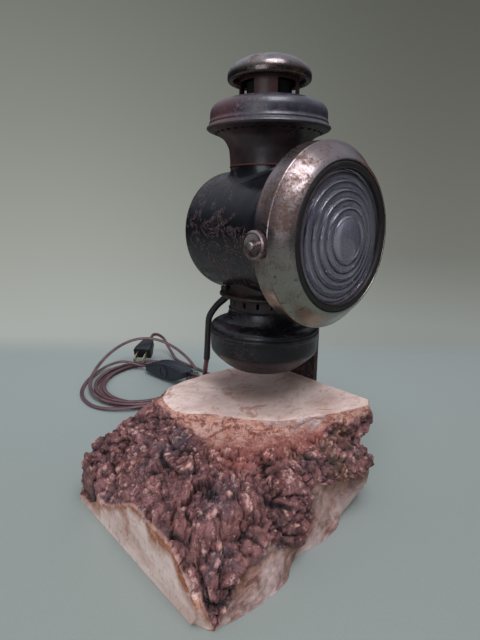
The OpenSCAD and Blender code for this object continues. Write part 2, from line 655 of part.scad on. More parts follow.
strap_z = axis_z - sqrt(pow(barrel_r - wall, 2) - pow(strap_w / 2, 2));
strap_t = 1.6;
function socket_rivet_places() = [for (s = [-1, 1]) s * (lower_neck_r - 1.4)];

module socket_strap() {
    half = lower_neck_r + 2;
    color([0.5, 0.45, 0.3]) difference() {
        translate([-strap_w / 2, -half, strap_z]) cube([strap_w, 2 * half, strap_t]);
        for (y = socket_rivet_places()) translate([0, y, strap_z - 1])
            cylinder(r = 1.6, h = strap_t + 2, $fn = 24);
    }
}

module socket_rivets() {
    low = axis_z - barrel_r;
    color([0.5, 0.42, 0.25]) for (y = socket_rivet_places()) translate([0, y, low]) {
        cylinder(r = 1.6, h = strap_z + strap_t - low, $fn = 24);
        translate([0, 0, strap_z + strap_t - low]) cylinder(r1 = 2.8, r2 = 1.8, h = 1.2, $fn = 24);
    }
}

socket_z = strap_z + strap_t;
socket_cap_h = 7;
module socket_cap() {
    color([0.12, 0.11, 0.1]) difference() {
        translate([0, 0, socket_z]) cylinder(r1 = socket_r - 2, r2 = socket_r, h = socket_cap_h, $fn = 48);
        rotate([0, 0, cord_exit_angle]) translate([socket_r, 0, socket_z + 3.4]) rotate([0, -90, 0])
            cylinder(r = cord_d / 2 + 0.2, h = 6, $fn = 24);
    }
}

bulb_z = axis_z - bulb_r - 1;
module socket_shell() {
    color([0.72, 0.58, 0.3]) difference() {
        translate([0, 0, socket_z + socket_cap_h])
            cylinder(r = socket_r, h = bulb_z - socket_z - socket_cap_h - 2, $fn = 48);
        translate([0, 0, socket_z + socket_cap_h + 2])
            cylinder(r = bulb_base_r + clear, h = 40, $fn = 48);
    }
}

module bulb_base() {
    low = socket_z + socket_cap_h + 2 + clear;
    color([0.75, 0.62, 0.35]) translate([0, 0, low])
        cylinder(r = bulb_base_r, h = bulb_z - low, $fn = 48);
}

module bulb_glass() {
    neck_r = bulb_base_r - 0.5;
    start = -acos(neck_r / bulb_r);
    color([0.9, 0.88, 0.8, 0.6]) turned(concat([[0, bulb_z], [neck_r, bulb_z]],
        arc(0, axis_z, bulb_r, start, 90, 20)));
}

// A tube swept along points: one closed skin of flat-sided rings
function unit(v) = v / norm(v);
function heading(p, i) = let (n = len(p) - 1) unit(p[min(i + 1, n)] - p[max(i - 1, 0)]);
function carry(s, t) = unit(s - t * (s * t));
function sides_of(p, i = 1, s = undef, out = []) =
    let (first = carry([0.1, 0.2, 1], heading(p, 0)))
    i == len(p) ? (len(out) == 0 ? [first] : out)
    : let (last = len(out) == 0 ? [first] : out, now = carry(last[len(last) - 1], heading(p, i)))
        sides_of(p, i + 1, now, concat(last, [now]));
module tube(p, d, sides) {
    side = sides_of(p);
    n = len(p);
    points = [for (i = [0:n - 1]) let (t = heading(p, i), u = side[i], v = cross(t, u))
        for (k = [0:sides - 1]) let (a = 360 * k / sides) p[i] + d / 2 * (u * cos(a) + v * sin(a))];
    skin = [for (i = [0:n - 2]) for (k = [0:sides - 1]) let (a = i * sides + k,
        b = i * sides + (k + 1) % sides) each [[a, a + sides, b], [b, a + sides, b + sides]]];
    ends = [[for (k = [0:sides - 1]) k], [for (k = [sides - 1:-1:0]) (n - 1) * sides + k]];
    polyhedron(points = points, faces = concat(skin, ends));
}

// Smooth points through hand-chosen ones, about one every "gap" millimetres
function spline(a, b, c, d, t) = 0.5 * ((2 * b) + (c - a) * t + (2 * a - 5 * b + 4 * c - d) * t * t
    + (3 * b - a - 3 * c + d) * t * t * t);
function smooth(p, gap) = let (n = len(p) - 1)
    concat([for (i = [0:n - 1]) let (a = p[max(i - 1, 0)], b = p[i], c = p[i + 1],
        d = p[min(i + 2, n)], m = max(1, round(norm(c - b) / gap)))
        for (k = [0:m - 1]) spline(a, b, c, d, k / m)], [p[n]]);

exit_at = [cord_exit_r * cos(cord_exit_angle), cord_exit_r * sin(cord_exit_angle), flange_z];
floor_z = cord_d / 2 + 0.6;

// Coil: in on the table, up a layer, and out again, clockwise from above, and a little
// narrower than it is deep
coil_at = [15.2, 223.4];
coil_squeeze = 0.87;
coil_side = [0.741, -0.6715];
coil_start = -110;
coil_climb = 0.5;
coil_turns = coil_turns_low + coil_climb + coil_turns_high;
layer_h = cord_d + 0.7;
coil_shift = [-5, 3];
coil_loose = 7.5;
coil_hump = 31;
hump_at = 62;
hump_spread = 58;
function ease(x) = let (c = min(max(x, 0), 1)) c * c * (3 - 2 * c);
function coil_r(t) = t < coil_turns_low ? coil_in_r + coil_pitch * (coil_turns_low - t)
    : coil_in_r + coil_pitch * max(0, t - coil_turns_low - coil_climb);
function coil_point(t) = let (a = coil_start - 360 * t, up = ease((t - coil_turns_low) / (0.8 * coil_climb)),
    move = ease((t - coil_turns_low - 0.8 * coil_climb) / 0.5),
    away = (a - hump_at) % 360, near = min(abs(away), 360 - abs(away)),
    hump = t > coil_turns - 1 ? exp(-pow(near / hump_spread, 2)) : 0,
    r = coil_r(t) + coil_loose * hump, round = r * [cos(a), sin(a)],
    at = coil_at + round - (1 - coil_squeeze) * (round * coil_side) * coil_side + coil_shift * move)
    [at[0], at[1], floor_z + layer_h * up + coil_hump * hump];
rings_per_loop = 24;
coil_route = [for (i = [0:rings_per_loop * coil_turns]) coil_point(i / rings_per_loop)];

// Least gap of the coil to itself, measured on its points
coil_gap = min([for (i = [0:len(coil_route) - 1]) for (j = [i + 8:len(coil_route) - 1])
    norm(coil_route[i] - coil_route[j])]) - cord_d;
echo(coil_gap = coil_gap);

// Route of the cord, by hand: from the lamp down behind the block and to the coil
sleeve_route = [exit_at, exit_at + [0, 0, -4], [-25, 33, 142], [-26, 42, 131], [-23, 48, 119],
    [-21, 52, 102], [-19, 56, 86]];
drop_route = [[-19, 56, 86], [-17, 61, 74], [-14, 67, 58], [-11, 72, 40], [-8, 77, 22],
    [-4, 85, 8], [2, 97, floor_z], [8, 112, floor_z], [8, 128, floor_z], coil_point(0) + [11, -4.5, 0],
    coil_point(0)];

// Switch and plug, where they lie
switch_tip = 8;
switch_at = [41.2, 215.8, switch_w / 2 + clear + 1.5];
switch_yaw = -84;
switch_way = [cos(switch_yaw) * cos(switch_tip), sin(switch_yaw) * cos(switch_tip), sin(switch_tip)];
switch_neck = 4;
switch_in = switch_at - switch_way * (switch_l / 2 + switch_neck);
switch_out = switch_at + switch_way * (switch_l / 2 + switch_neck);
plug_at = [53, 293, floor_z + layer_h + cord_d / 2 + 0.9 * plug_t];
plug_dip = 18;
plug_yaw = 219;
plug_way = [cos(plug_yaw) * cos(plug_dip), sin(plug_yaw) * cos(plug_dip), -sin(plug_dip)];
plug_neck = 9;
blade_in = 8;
plug_in = plug_at - plug_way * (plug_l / 2 + plug_neck);

coil_end = coil_point(coil_turns);
link_route = [coil_end, [-42, 165, 6.5], [-60, 180, 4.5], [-70, 200, 3], [-71, 222, 2.8],
    [-66, 243, 2.8], [-56, 262, 2.8], [-42, 279, 3.2], [-24, 293, 4.5], [-4, 300, 8], [12, 293, 12],
    [22.5, 282, 11], [30, 271, 8.8], switch_in - switch_way * 5, switch_in];
tail_route = [switch_out, switch_out + switch_way * 5, [49, 154, 20], [55, 145, 18], [65, 142, 12.6],
    [77, 149, 6.6], [86, 166, 3], [91, 187, floor_z], [92, 211, floor_z], [91, 232, floor_z],
    [90, 252, floor_z], [91, 272, 3.4], [95, 289, 8], [97, 303, 16], [94, 312, 25], [87.5, 316, 31.5],
    [80, 314, 34.4], plug_in - plug_way * 5, plug_in];

module inner_lead() {
    way = [cos(cord_exit_angle), sin(cord_exit_angle), 0];
    top = exit_at + [0, 0, 12];
    seat = [0, 0, socket_z + 3.4] + way * (socket_r - 5.6);
    color([0.4, 0.25, 0.24]) tube(smooth([exit_at + [0, 0, 6.2], top, seat + way * 16 + [0, 0, 3],
        seat + way * 8, seat], 5), cord_d - 0.4, 8);
}

module cord_grommet() {
    color([0.08, 0.08, 0.08]) translate(exit_at) difference() {
        union() {
            translate([0, 0, -1.6]) cylinder(r = cord_hole_r + 0.4, h = 1.6, $fn = 32);
            cylinder(r = cord_hole_r, h = 6, $fn = 32);
        }
        translate([0, 0, 3]) cylinder(r = cord_d / 2, h = 8, $fn = 32);
    }
}

module cord_sleeve() {
    color([0.1, 0.1, 0.12]) tube(smooth(concat([exit_at + [0, 0, -1.6]],
        [for (i = [1:len(sleeve_route) - 1]) sleeve_route[i]]), 9), sleeve_d, 8);
}

module cord_drop() {
    color([0.45, 0.3, 0.3]) tube(smooth(drop_route, 9), cord_d, 8);
}

module cord_coil() {
    color([0.45, 0.3, 0.3]) tube(coil_route, cord_d, 6);
}

module cord_link() {
    color([0.45, 0.3, 0.3]) tube(smooth(link_route, 10), cord_d, 8);
}

module cord_tail() {
    color([0.45, 0.3, 0.3]) tube(smooth(tail_route, 10), cord_d, 8);
}

// Wire tie: a flat band round the strands at one side of the coil
tie_angle = -33;
module cord_tie() {
    in_r = coil_squeeze * coil_in_r - cord_d / 2 - 4.2;
    out_r = coil_squeeze * (coil_in_r + 1.3 * coil_pitch) + cord_d / 2 + 1.4;
    top = floor_z + layer_h + cord_d / 2 + 2.6;
    band = 0.5;
    color([0.15, 0.6, 0.48]) translate([coil_at[0], coil_at[1], 0]) rotate([0, 0, tie_angle])
        translate([0, 1.5, 0]) rotate([90, 0, 0]) linear_extrude(3) difference() {
            translate([in_r, 0.02]) square([out_r - in_r, top + band]);
            translate([in_r + band, 0.02 + band]) square([out_r - in_r - 2 * band, top - band]);
        }
}

// Switch: two moulded halves, standing on edge with the dial to the front
module switch_place() {
    translate(switch_at) rotate([0, -switch_tip, switch_yaw]) rotate([90, 0, 0]) children();
}

module switch_outline(l, w) {
    bow = (l * l + w * w) / (4 * w);
    intersection() {
        translate([0, bow - w / 2]) circle(r = bow, $fn = 120);
        translate([0, w / 2 - bow]) circle(r = bow, $fn = 120);
        square([l - 12, w], center = true);
    }
}

module switch_half(sign) {
    t = switch_t / 2;
    mirror([0, 0, sign < 0 ? 1 : 0]) difference() {
        union() {
            hull() {
                linear_extrude(t - 3) switch_outline(switch_l + 12, switch_w);
                linear_extrude(t) switch_outline(switch_l + 4, switch_w - 5);
            }
            for (s = [-1, 1]) intersection() {
                translate([s * (switch_l / 2 - 2), 0, 0]) rotate([0, s * 90, 0])
                    cylinder(r = cord_d / 2 + 1.2, h = switch_neck + 2, $fn = 32);
                translate([-switch_l, -switch_w, 0]) cube([2 * switch_l, 2 * switch_w, t]);
            }
        }
        for (s = [-1, 1]) translate([s * 26, 0, -1]) cylinder(r = 1.5, h = t, $fn = 24);
    }
}

module switch_back() {
    color([0.2, 0.21, 0.25]) switch_place() difference() {
        switch_half(-1);
        translate([0, 0, -5]) cylinder(r = 2 + run_fit, h = 6, $fn = 32);
        for (s = [-1, 1]) translate([s * 26, 0, -switch_t / 2 - 1]) {
            cylinder(r = 1.5, h = switch_t, $fn = 24);
            cylinder(r = 2.8, h = 3, $fn = 24);
        }
    }
}

module switch_front() {
    color([0.22, 0.23, 0.27]) switch_place() difference() {
        switch_half(1);
        translate([0, 0, 3]) cylinder(r = dial_r + 0.4, h = switch_t, $fn = 64);
        translate([0, 0, -1]) cylinder(r = 2.4, h = 6, $fn = 32);
    }
}

module switch_screws() {
    color("silver") switch_place() for (s = [-1, 1]) translate([s * 26, 0, -switch_t / 2 + 0.4]) {
        cylinder(r = 1.5, h = switch_t / 2 + 6, $fn = 24);
        cylinder(r = 2.6, h = 1.6, $fn = 24);
    }
}

module switch_dial() {
    face = switch_t / 2;
    color([0.28, 0.29, 0.33]) switch_place() difference() {
        union() {
            translate([0, 0, 3 + clear]) cylinder(r = dial_r, h = face - 2.4, $fn = 64);
            translate([0, 0, -4.6]) cylinder(r = 2, h = 9, $fn = 32);
        }
        translate([0, 0, face + 0.1]) cylinder(r = dial_r - 2, h = 3, $fn = 64);
        translate([dial_r - 1.2, -0.8, face - 0.2]) cube([3, 1.6, 3]);
    }
}

// Plug: a moulded body with two flat blades
module plug_place() {
    translate(plug_at) rotate([0, plug_dip, plug_yaw]) children();
}

module plug_body() {
    nose = 6;
    grip = 0.62;
    color([0.1, 0.1, 0.12]) plug_place() difference() {
        union() {
            hull() {
                translate([plug_l / 2 - nose, -plug_w / 2 + 1.5, -plug_t / 2])
                    cube([nose, plug_w - 3, plug_t]);
                translate([plug_l / 2 - nose, -plug_w / 2, -plug_t / 2 + 2])
                    cube([nose, plug_w, plug_t - 4]);
                translate([-plug_l / 2, -grip * plug_w / 2, -grip * plug_t / 2])
                    cube([4, grip * plug_w, grip * plug_t]);
            }
            translate([-plug_l / 2 - plug_neck, 0, 0]) rotate([0, 90, 0])
                cylinder(r1 = cord_d / 2 + 0.8, r2 = cord_d / 2 + 2, h = plug_neck + 1, $fn = 32);
        }
        for (s = [-1, 1]) translate([plug_l / 2 - blade_in, s * blade_pitch / 2 - 0.75, -blade_w / 2])
            cube([blade_in + 1, 1.5, blade_w]);
    }
}

module plug_blades() {
    color([0.8, 0.65, 0.35]) plug_place() for (s = [-1, 1]) difference() {
        translate([plug_l / 2 - blade_in, s * blade_pitch / 2 - 0.75, -blade_w / 2])
            cube([blade_in + blade_out, 1.5, blade_w]);
        translate([plug_l / 2 + blade_out - 5, s * blade_pitch / 2 + 2, 0]) rotate([90, 0, 0])
            cylinder(r = 1.6, h = 4, $fn = 24);
    }
}

burl_block();
bracket_plate();
block_screws();
lug();
lug_bolts();
barrel();
body_back();
body_mouth();
collar();
body_flange();
air_ring();
fount_top();
fount_bowl();
neck();
hood();
draught_tube();
vent_gallery();
cap();
door_bezel();
lens();
lens_gasket();
lens_ring();
body_hinge();
door_hinge();
hinge_pin();
latch_stud();
latch_knob();
reflector();
socket_strap();
socket_rivets();
socket_cap();
socket_shell();
bulb_base();
bulb_glass();
inner_lead();
cord_grommet();
cord_sleeve();
cord_drop();
cord_coil();
cord_link();
cord_tail();
cord_tie();
switch_back();
switch_front();
switch_screws();
switch_dial();
plug_body();
plug_blades();
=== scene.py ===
"""Motor-car side lamp with a bull's-eye lens, wired as a table lamp on a burl block.

Each sub-assembly is a class: its fields are sizes in millimetres, the same as in the CAD source,
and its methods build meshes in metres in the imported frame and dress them.
"""

from __future__ import annotations

import json
import logging
import math
from dataclasses import dataclass
from enum import Enum
from typing import Iterable, Sequence

import bmesh
import bpy
import numpy as np
from mathutils import Matrix, Vector

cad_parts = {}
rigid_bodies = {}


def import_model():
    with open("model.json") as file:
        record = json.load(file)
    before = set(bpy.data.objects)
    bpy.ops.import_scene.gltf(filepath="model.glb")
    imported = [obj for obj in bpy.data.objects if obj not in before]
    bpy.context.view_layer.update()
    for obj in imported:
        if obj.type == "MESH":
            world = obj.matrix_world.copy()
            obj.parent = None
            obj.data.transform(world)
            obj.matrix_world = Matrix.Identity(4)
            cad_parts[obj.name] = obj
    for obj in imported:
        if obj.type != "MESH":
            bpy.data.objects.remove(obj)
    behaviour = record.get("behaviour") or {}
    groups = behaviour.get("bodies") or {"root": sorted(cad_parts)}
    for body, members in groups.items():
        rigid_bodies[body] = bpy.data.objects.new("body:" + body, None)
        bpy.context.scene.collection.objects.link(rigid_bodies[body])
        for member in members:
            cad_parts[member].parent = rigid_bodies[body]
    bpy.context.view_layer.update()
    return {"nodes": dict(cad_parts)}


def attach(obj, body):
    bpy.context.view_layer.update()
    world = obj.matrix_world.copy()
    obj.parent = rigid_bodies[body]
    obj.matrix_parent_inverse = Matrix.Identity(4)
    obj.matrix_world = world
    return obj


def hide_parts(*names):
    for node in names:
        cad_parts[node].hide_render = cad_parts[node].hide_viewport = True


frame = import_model()
log = logging.getLogger("side_lamp")

MM = 0.001
AXIS_Z = 204.0
DOOR_MIDDLE_Z = 0.2018
RING_SEGMENTS = 192
SHARP = 32.0
MERGE = 2e-6
NO_AREA = 1e-6
TO_THE_RIGHT = (0.741, -0.6715, 0.0)
Pair = tuple[float, float]
Triple = tuple[float, float, float]
Rgb = tuple[int, int, int]
Array = np.ndarray
Socket = bpy.types.NodeSocket
Piece = bpy.types.Object
Mesh = bpy.types.Mesh
Material = bpy.types.Material


def linear(rgb: Rgb, *by: float, plus: float = 0.0) -> tuple[float, ...]:
    """Turns a colour as seen on a screen into the shader's own scale.

    Args:
        rgb: Red, green and blue from 0 to 255.
        *by: One factor for all three, or one for each.
        plus: What each gets on top.

    Returns:
        The linear colour with full alpha.
    """
    parts = [c / 255 / 12.92 if c < 11 else ((c / 255 + 0.055) / 1.055) ** 2.4 for c in rgb]
    scale = by if len(by) == 3 else (by or (1.0,)) * 3
    return (*(part * share + plus for part, share in zip(parts, scale)), 1.0)


class Axis(Enum):
    """The line that a turned piece is made about."""

    UPRIGHT = "upright"
    FACE = "face"


class Tree:
    """A node tree that is built up node by node."""

    def __init__(self, tree: bpy.types.NodeTree, prefix: str = "ShaderNode") -> None:
        """Empties a tree whose kinds of node start with a prefix."""
        self.tree, self.prefix = tree, prefix
        tree.nodes.clear()

    def put(self, socket: Socket, value: object) -> None:
        """Links an input to a field or socket, or sets its value, where three numbers can stand for a colour."""
        if isinstance(value, Field):
            value = value.socket
        if isinstance(value, Socket):
            self.tree.links.new(value, socket)
        else:
            socket.default_value = linear(value) if socket.type == "RGBA" and len(value) == 3 else value

    def add(self, kind: str, inputs: dict | None = None, **settings: object) -> bpy.types.Node:
        """Adds a node.

        Args:
            kind: The node's type, in full or without the prefix.
            inputs: What its inputs get, by name or index.
            **settings: The node's own properties.

        Returns:
            The new node.
        """
        node = self.tree.nodes.new(kind if "Node" in kind else self.prefix + kind)
        for key, value in settings.items():
            setattr(node, key, value)
        for key, value in (inputs or {}).items():
            self.put(node.inputs[key], value)
        return node

    def out(self, kind: str, inputs: dict | None = None, index: int | str = 0, **settings: object) -> Socket:
        """Adds a node as add does, and gives one of its outputs."""
        return self.add(kind, inputs, **settings).outputs[index]


class Field:
    """One output in a graph, on which sums are written as plain arithmetic."""

    def __init__(self, graph: Graph, socket: Socket) -> None:
        """Wraps a graph's socket."""
        self.graph, self.socket = graph, socket

    def sum(self, operation: str, first: object, second: object = 0.0) -> Field:
        """One Math node on two values, each a number or a field."""
        return self.graph.out("Math", {0: first, 1: second}, operation=operation)

    def __add__(self, other: object) -> Field:
        """Adds."""
        return self.sum("ADD", self, other)

    def __sub__(self, other: object) -> Field:
        """Subtracts."""
        return self.sum("SUBTRACT", self, other)

    def __rsub__(self, other: float) -> Field:
        """Subtracts this from a number."""
        return self.sum("SUBTRACT", other, self)

    def __mul__(self, other: object) -> Field:
        """Multiplies."""
        return self.sum("MULTIPLY", self, other)

    def __abs__(self) -> Field:
        """Drops the sign."""
        return self.sum("ABSOLUTE", self)

    def most(self, other: Field) -> Field:
        """The greater of two."""
        return self.sum("MAXIMUM", self, other)

    def band(self, low: float, high: float, to_low: float = 0.0, to_high: float = 1.0) -> Field:
        """Eases the range from low to high onto the one from to_low to to_high."""
        inputs = {0: self, 1: low, 2: high, 3: to_low, 4: to_high}
        return self.graph.out("MapRange", inputs, interpolation_type="SMOOTHSTEP")


class Graph(Tree):
    """A material's node tree round one Principled shader."""

    def __init__(self, name: str) -> None:
        """Starts a material of that name."""
        self.material = bpy.data.materials.new(name)
        self.material.use_nodes = True
        super().__init__(self.material.node_tree)
        self.shader = self.add("BsdfPrincipled")
        self.output = self.add("OutputMaterial", {"Surface": self.shader.outputs[0]})
        self.place = self.add("TexCoord").outputs["Object"]

    def out(self, kind: str, inputs: dict | None = None, index: int | str = 0, **settings: object) -> Field:
        """Adds a node as add does, and gives one of its outputs as a field."""
        return Field(self, super().out(kind, inputs, index, **settings))

    def mapped(self, stretch: Triple = (1, 1, 1), seed: float = 0.0) -> Field:
        """The piece's own coordinates, scaled along each axis and shifted."""
        return self.out("Mapping", {"Vector": self.place, "Scale": stretch, "Location": (seed,) * 3})

    def noise(self, scale: float, detail: float = 4, rough: float = 0.55, warp: float = 0.0,
              stretch: Triple = (1, 1, 1), seed: float = 0.0) -> Field:
        """Noise from 0 to 1: features per metre, octaves, strength of the finer ones, distortion, axes and shift."""
        inputs = {"Vector": self.mapped(stretch, seed), "Scale": scale, "Detail": detail, "Roughness": rough}
        return self.out("TexNoise", {**inputs, "Distortion": warp}, "Fac")

    def axis(self, index: int) -> Field:
        """One coordinate of the piece's own place: 0, 1 or 2."""
        return self.out("SeparateXYZ", {0: self.place}, index)

    def along(self, way: Triple) -> Field:
        """How far the place lies along a direction."""
        return self.out("VectorMath", {0: self.place, 1: way}, "Value", operation="DOT_PRODUCT")

    def from_axis(self, middle_z: float) -> Field:
        """Distance from the line through X = 0 at a height that runs to the front."""
        x, rise = self.axis(0), self.axis(2) - middle_z
        return x.sum("SQRT", x * x + rise * rise)

    def mask(self, name: str) -> Field:
        """A number that the mesh carries at its points."""
        return self.out("Attribute", {}, "Fac", attribute_name=name)

    def mix(self, share: object, first: object, second: object) -> Field:
        """Mixes two colours, by how much of the second shows."""
        return self.out("Mix", {0: share, 6: first, 7: second}, 2, data_type="RGBA")

    def coats(self, base: object, *coats: tuple[object, object]) -> Field:
        """Lays coats over a base.

        Args:
            base: The first colour.
            *coats: How much of each coat shows, and its colour.

        Returns:
            The colour on top.
        """
        for share, colour in coats:
            base = self.mix(share, base, colour)
        return base

    def bump(self, height: Field, depth: float, strength: float = 1.0, under: Field | None = None) -> Field:
        """Relief from a height pattern with its depth in metres and its strength, added to one under it."""
        inputs = {"Height": height, "Distance": depth, "Strength": strength}
        return self.out("Bump", inputs if under is None else {**inputs, "Normal": under})

    def finish(self, **inputs: object) -> Material:
        """Sets the shader's inputs, with underscores for spaces in their names, and gives the material."""
        for key, value in inputs.items():
            self.put(self.shader.inputs[key.replace("_", " ")], value)
        return self.material


@dataclass(frozen=True)
class WornPaint:
    """Old stoved paint on steel, scuffed to rust along a noise."""

    name: str = "worn_black_paint"
    coat: Rgb = (20, 20, 26)
    scuff: Rgb = (88, 60, 58)
    wear: float = 0.5
    gloss: float = 0.3
    side_wear: float = 0.5
    scratches: float = 1.0
    seam: float = 0.0
    flush: float = 0.0
    shine: float = 0.35

    def make(self) -> Material:
        """Builds the material: paint, rust scuffs, fine scratches and dust."""
        g = Graph(self.name)
        blotch, fine = g.noise(22, 5, 0.6, 0.5), g.noise(520, 6, 0.75, 0.3)
        left = g.axis(0).band(0.004, -0.046, 0.0, self.side_wear)
        scuffed = (blotch * 0.5 + fine * 0.66 - (0.93 - 0.25 * self.wear - left * 0.2)).band(-0.02, 0.05)
        zone = (g.noise(20, 3, 0.5, 0.4, seed=8.0) + left * 0.14).band(0.46, 0.56)
        scratch = abs(g.noise(58, 7, 0.72, 1.2, seed=4.4) - 0.5).band(0.015, 0.003) * zone * self.scratches
        thin = g.noise(300, 3, 0.5, 0.8, (1, 1, 7), 3.1).band(0.68, 0.74, 0.0, 0.5)
        worn = scuffed.most(scratch).most(thin * zone)
        tone = g.mix(g.noise(60, 4, 0.6).band(0.35, 0.7), self.coat, linear(self.coat, 0.5))
        if self.flush:
            cast = (g.axis(1) - g.axis(0)).band(0.018, 0.05) * g.noise(40, 5, 0.7).band(0.3, 0.6, 0.5, 1.0)
            tone = g.mix(cast * self.flush, tone, self.scuff)
        rust = g.mix(g.noise(260, 4, 0.6).band(0.4, 0.65), self.scuff, linear(self.scuff, 1.7, 1.75, 1.75))
        colour = g.coats(tone, (worn * 0.85, rust), (scratch * fine.band(0.42, 0.6), (136, 102, 102)))
        if self.seam:
            line = abs(g.axis(2) - self.seam).band(0.0008, 0.0001)
            colour = g.mix(line * blotch.band(0.3, 0.5), colour, (108, 52, 48))
        rough = g.noise(90, 5, 0.65).band(0.3, 0.75, self.gloss - 0.1, self.gloss + 0.14) + worn * 0.35
        chips = g.bump(1.0 - worn, 0.00012, 0.8, g.bump(g.noise(38, 2, 0.4), 0.0012, 0.4))
        return g.finish(Base_Color=colour, Roughness=rough, Normal=chips, Specular_IOR_Level=self.shine,
                        Coat_Weight=0.12, Coat_Roughness=0.2)


@dataclass(frozen=True)
class OldNickel:
    """Nickel plate gone patchy, with brown stains, pits and a copper blush."""

    name: str = "old_nickel"
    bright: Rgb = (180, 182, 190)
    stain: Rgb = (92, 70, 62)
    amount: float = 0.5
    door: bool = False
    shade_z: float = 0.0

    def make(self) -> Material:
        """Builds the material, with painted reflections on the door: its band, top and outer rim darker, its low part
        lighter and greener.
        """
        g = Graph(self.name)
        patch = g.noise(30, 6, 0.64, 0.8, seed=2.6 if self.door else 0.0)
        cloud = g.noise(16, 4, 0.6, 0.6, seed=3.0)
        cover = (patch * 0.7 + g.noise(520, 5, 0.75) * 0.4).band(0.59 - 0.16 * self.amount, 0.72 - 0.12 * self.amount)
        tone = g.mix(cloud.band(0.36, 0.54), self.bright, linear(self.bright, 0.42, 0.38, 0.4))
        if self.door:
            # painted reflections on the door: the side band darker, the low part lighter and greener, the top and outer
            # rim darker
            band, low = g.axis(1).band(0.0645, 0.0625), g.axis(2).band(0.215, 0.15)
            high = g.axis(2).band(0.226, 0.256) * cloud.band(0.35, 0.6, 0.5, 1.0)
            outer = g.from_axis(DOOR_MIDDLE_Z).band(0.0555, 0.0605) * (1.0 - low) \
                * g.noise(45, 4, 0.6, 0.5, seed=4.0).band(0.35, 0.6, 0.35, 0.85)
            tone = g.coats(tone, (low * 0.75, (176, 180, 164)), (high * 0.75, (96, 82, 86)), (outer, (84, 74, 74)),
                           (band * 0.7, (146, 130, 128)), (band * low * 0.6, (150, 152, 138)))
            cover = cover * (1.0 - low * 0.8)
        if self.shade_z:
            shade = g.axis(2).band(self.shade_z + 0.0035, self.shade_z - 0.002, 0.0, 0.85)
            tone = g.mix(shade, tone, (66, 56, 50))
        blush = g.noise(34, 3, 0.5, 0.5, seed=5.0).band(0.6, 0.66, 0.0, 0.8)
        pits = g.out("TexVoronoi", {"Vector": g.mapped(), "Scale": 900}, "Distance")
        colour = g.coats(tone, (blush, (184, 116, 102)), (cover, self.stain),
                         (pits.band(0.16, 0.05, 0.0, 0.55), (60, 45, 42)),
                         (g.noise(280, 5, 0.75, 0.5, seed=7.7).band(0.59, 0.66, 0.0, 0.8), (52, 40, 38)))
        dull = 0.03 if self.door else 0.0
        rough = patch.band(0.3, 0.7, 0.16 + dull, 0.3 + dull) + cover * 0.2
        normal = g.bump(pits.band(0.0, 0.2), 0.00008, 0.5, g.bump(g.noise(60, 3), 0.0007, 0.35))
        return g.finish(Base_Color=colour, Metallic=cover.band(0.2, 1.0, 1.0, 0.75), Roughness=rough, Normal=normal)


@dataclass(frozen=True)
class PlainMetal:
    """Bare or dulled metal with a fine brushed grain."""

    name: str
    colour: Rgb
    rough: float = 0.35

    def make(self) -> Material:
        """Builds the material."""
        g = Graph(self.name)
        tarnish = g.noise(120, 5, 0.65).band(0.35, 0.7)
        return g.finish(Base_Color=g.mix(tarnish * 0.6, self.colour, linear(self.colour, 0.45)), Metallic=1.0,
                        Roughness=tarnish.band(0, 1, self.rough, self.rough + 0.2),
                        Normal=g.bump(g.noise(900, 3, 0.6, 0, (1, 1, 6)), 0.00006, 0.5))


@dataclass(frozen=True)
class Moulded:
    """Moulded plastic or rubber with a fine grain and handling marks."""

    name: str
    colour: Rgb
    rough: float = 0.4
    grain: float = 0.35

    def make(self) -> Material:
        """Builds the material."""
        g = Graph(self.name)
        dust = g.noise(180, 5, 0.7).band(0.5, 0.8, 0.0, 0.25)
        return g.finish(Base_Color=g.mix(dust, self.colour, linear(self.colour, 0.5, plus=0.08)),
                        Roughness=g.noise(60, 3).band(0.3, 0.7, self.rough, self.rough + 0.15),
                        Normal=g.bump(g.noise(2600, 2), 0.00005, self.grain))


@dataclass(frozen=True)
class FlexSkin:
    """Clear-brown vinyl of twin flex, with painted shade in the groove between its cores."""

    name: str = "flex_skin"

    def make(self) -> Material:
        """Builds the material."""
        g = Graph(self.name)
        # the dark coat in the groove between the cores is painted shade
        colour = g.coats((120, 84, 88), (g.noise(55, 3).band(0.35, 0.65), (92, 60, 66)),
                         (g.mask("groove_shade") * 0.75, (48, 30, 34)))
        return g.finish(Base_Color=colour, Roughness=g.noise(140, 3).band(0.3, 0.7, 0.3, 0.48),
                        Normal=g.bump(g.noise(1400, 2), 0.00006, 0.4), Coat_Weight=0.3, Coat_Roughness=0.25)


@dataclass(frozen=True)
class Glass:
    """Cast or blown glass with a tint, fine seeds and dust, and painted shade in the grooves of a stepped lens."""

    name: str
    tint: Rgb
    rough: float = 0.1
    clear: float = 0.9
    outer: float = 0.0
    step: float = 0.0
    bull: float = 0.0

    def make(self) -> Material:
        """Builds the material."""
        g = Graph(self.name)
        dust = g.noise(260, 5, 0.7).band(0.45, 0.8)
        tint = g.mix(dust * 0.3, self.tint, (150, 142, 140))
        # darker rings in the lens's grooves are painted shade
        if self.step:
            far = g.from_axis(DOOR_MIDDLE_Z)
            turn = far.sum("FRACT", far.sum("DIVIDE", self.outer - far, self.step))
            groove_shade = abs(turn - 0.42).band(0.3, 0.5) * far.band(self.bull - 0.0004, self.bull + 0.0004)
            tint = g.mix(groove_shade * 0.85, tint, (52, 48, 66))
        return g.finish(Base_Color=tint, Roughness=dust.band(0, 1, self.rough, self.rough + 0.1),
                        Transmission_Weight=self.clear, IOR=1.5, Coat_Weight=0.6, Coat_Roughness=0.03,
                        Normal=g.bump(g.noise(90, 2), 0.0004, 0.25))


Finish = WornPaint | OldNickel | PlainMetal | Moulded | FlexSkin | Glass
MADE: dict[str, Material] = {}


def material(finish: Finish) -> Material:
    """Gives a finish's one material, made at its first use."""
    if finish.name not in MADE:
        MADE[finish.name] = finish.make()
    return MADE[finish.name]


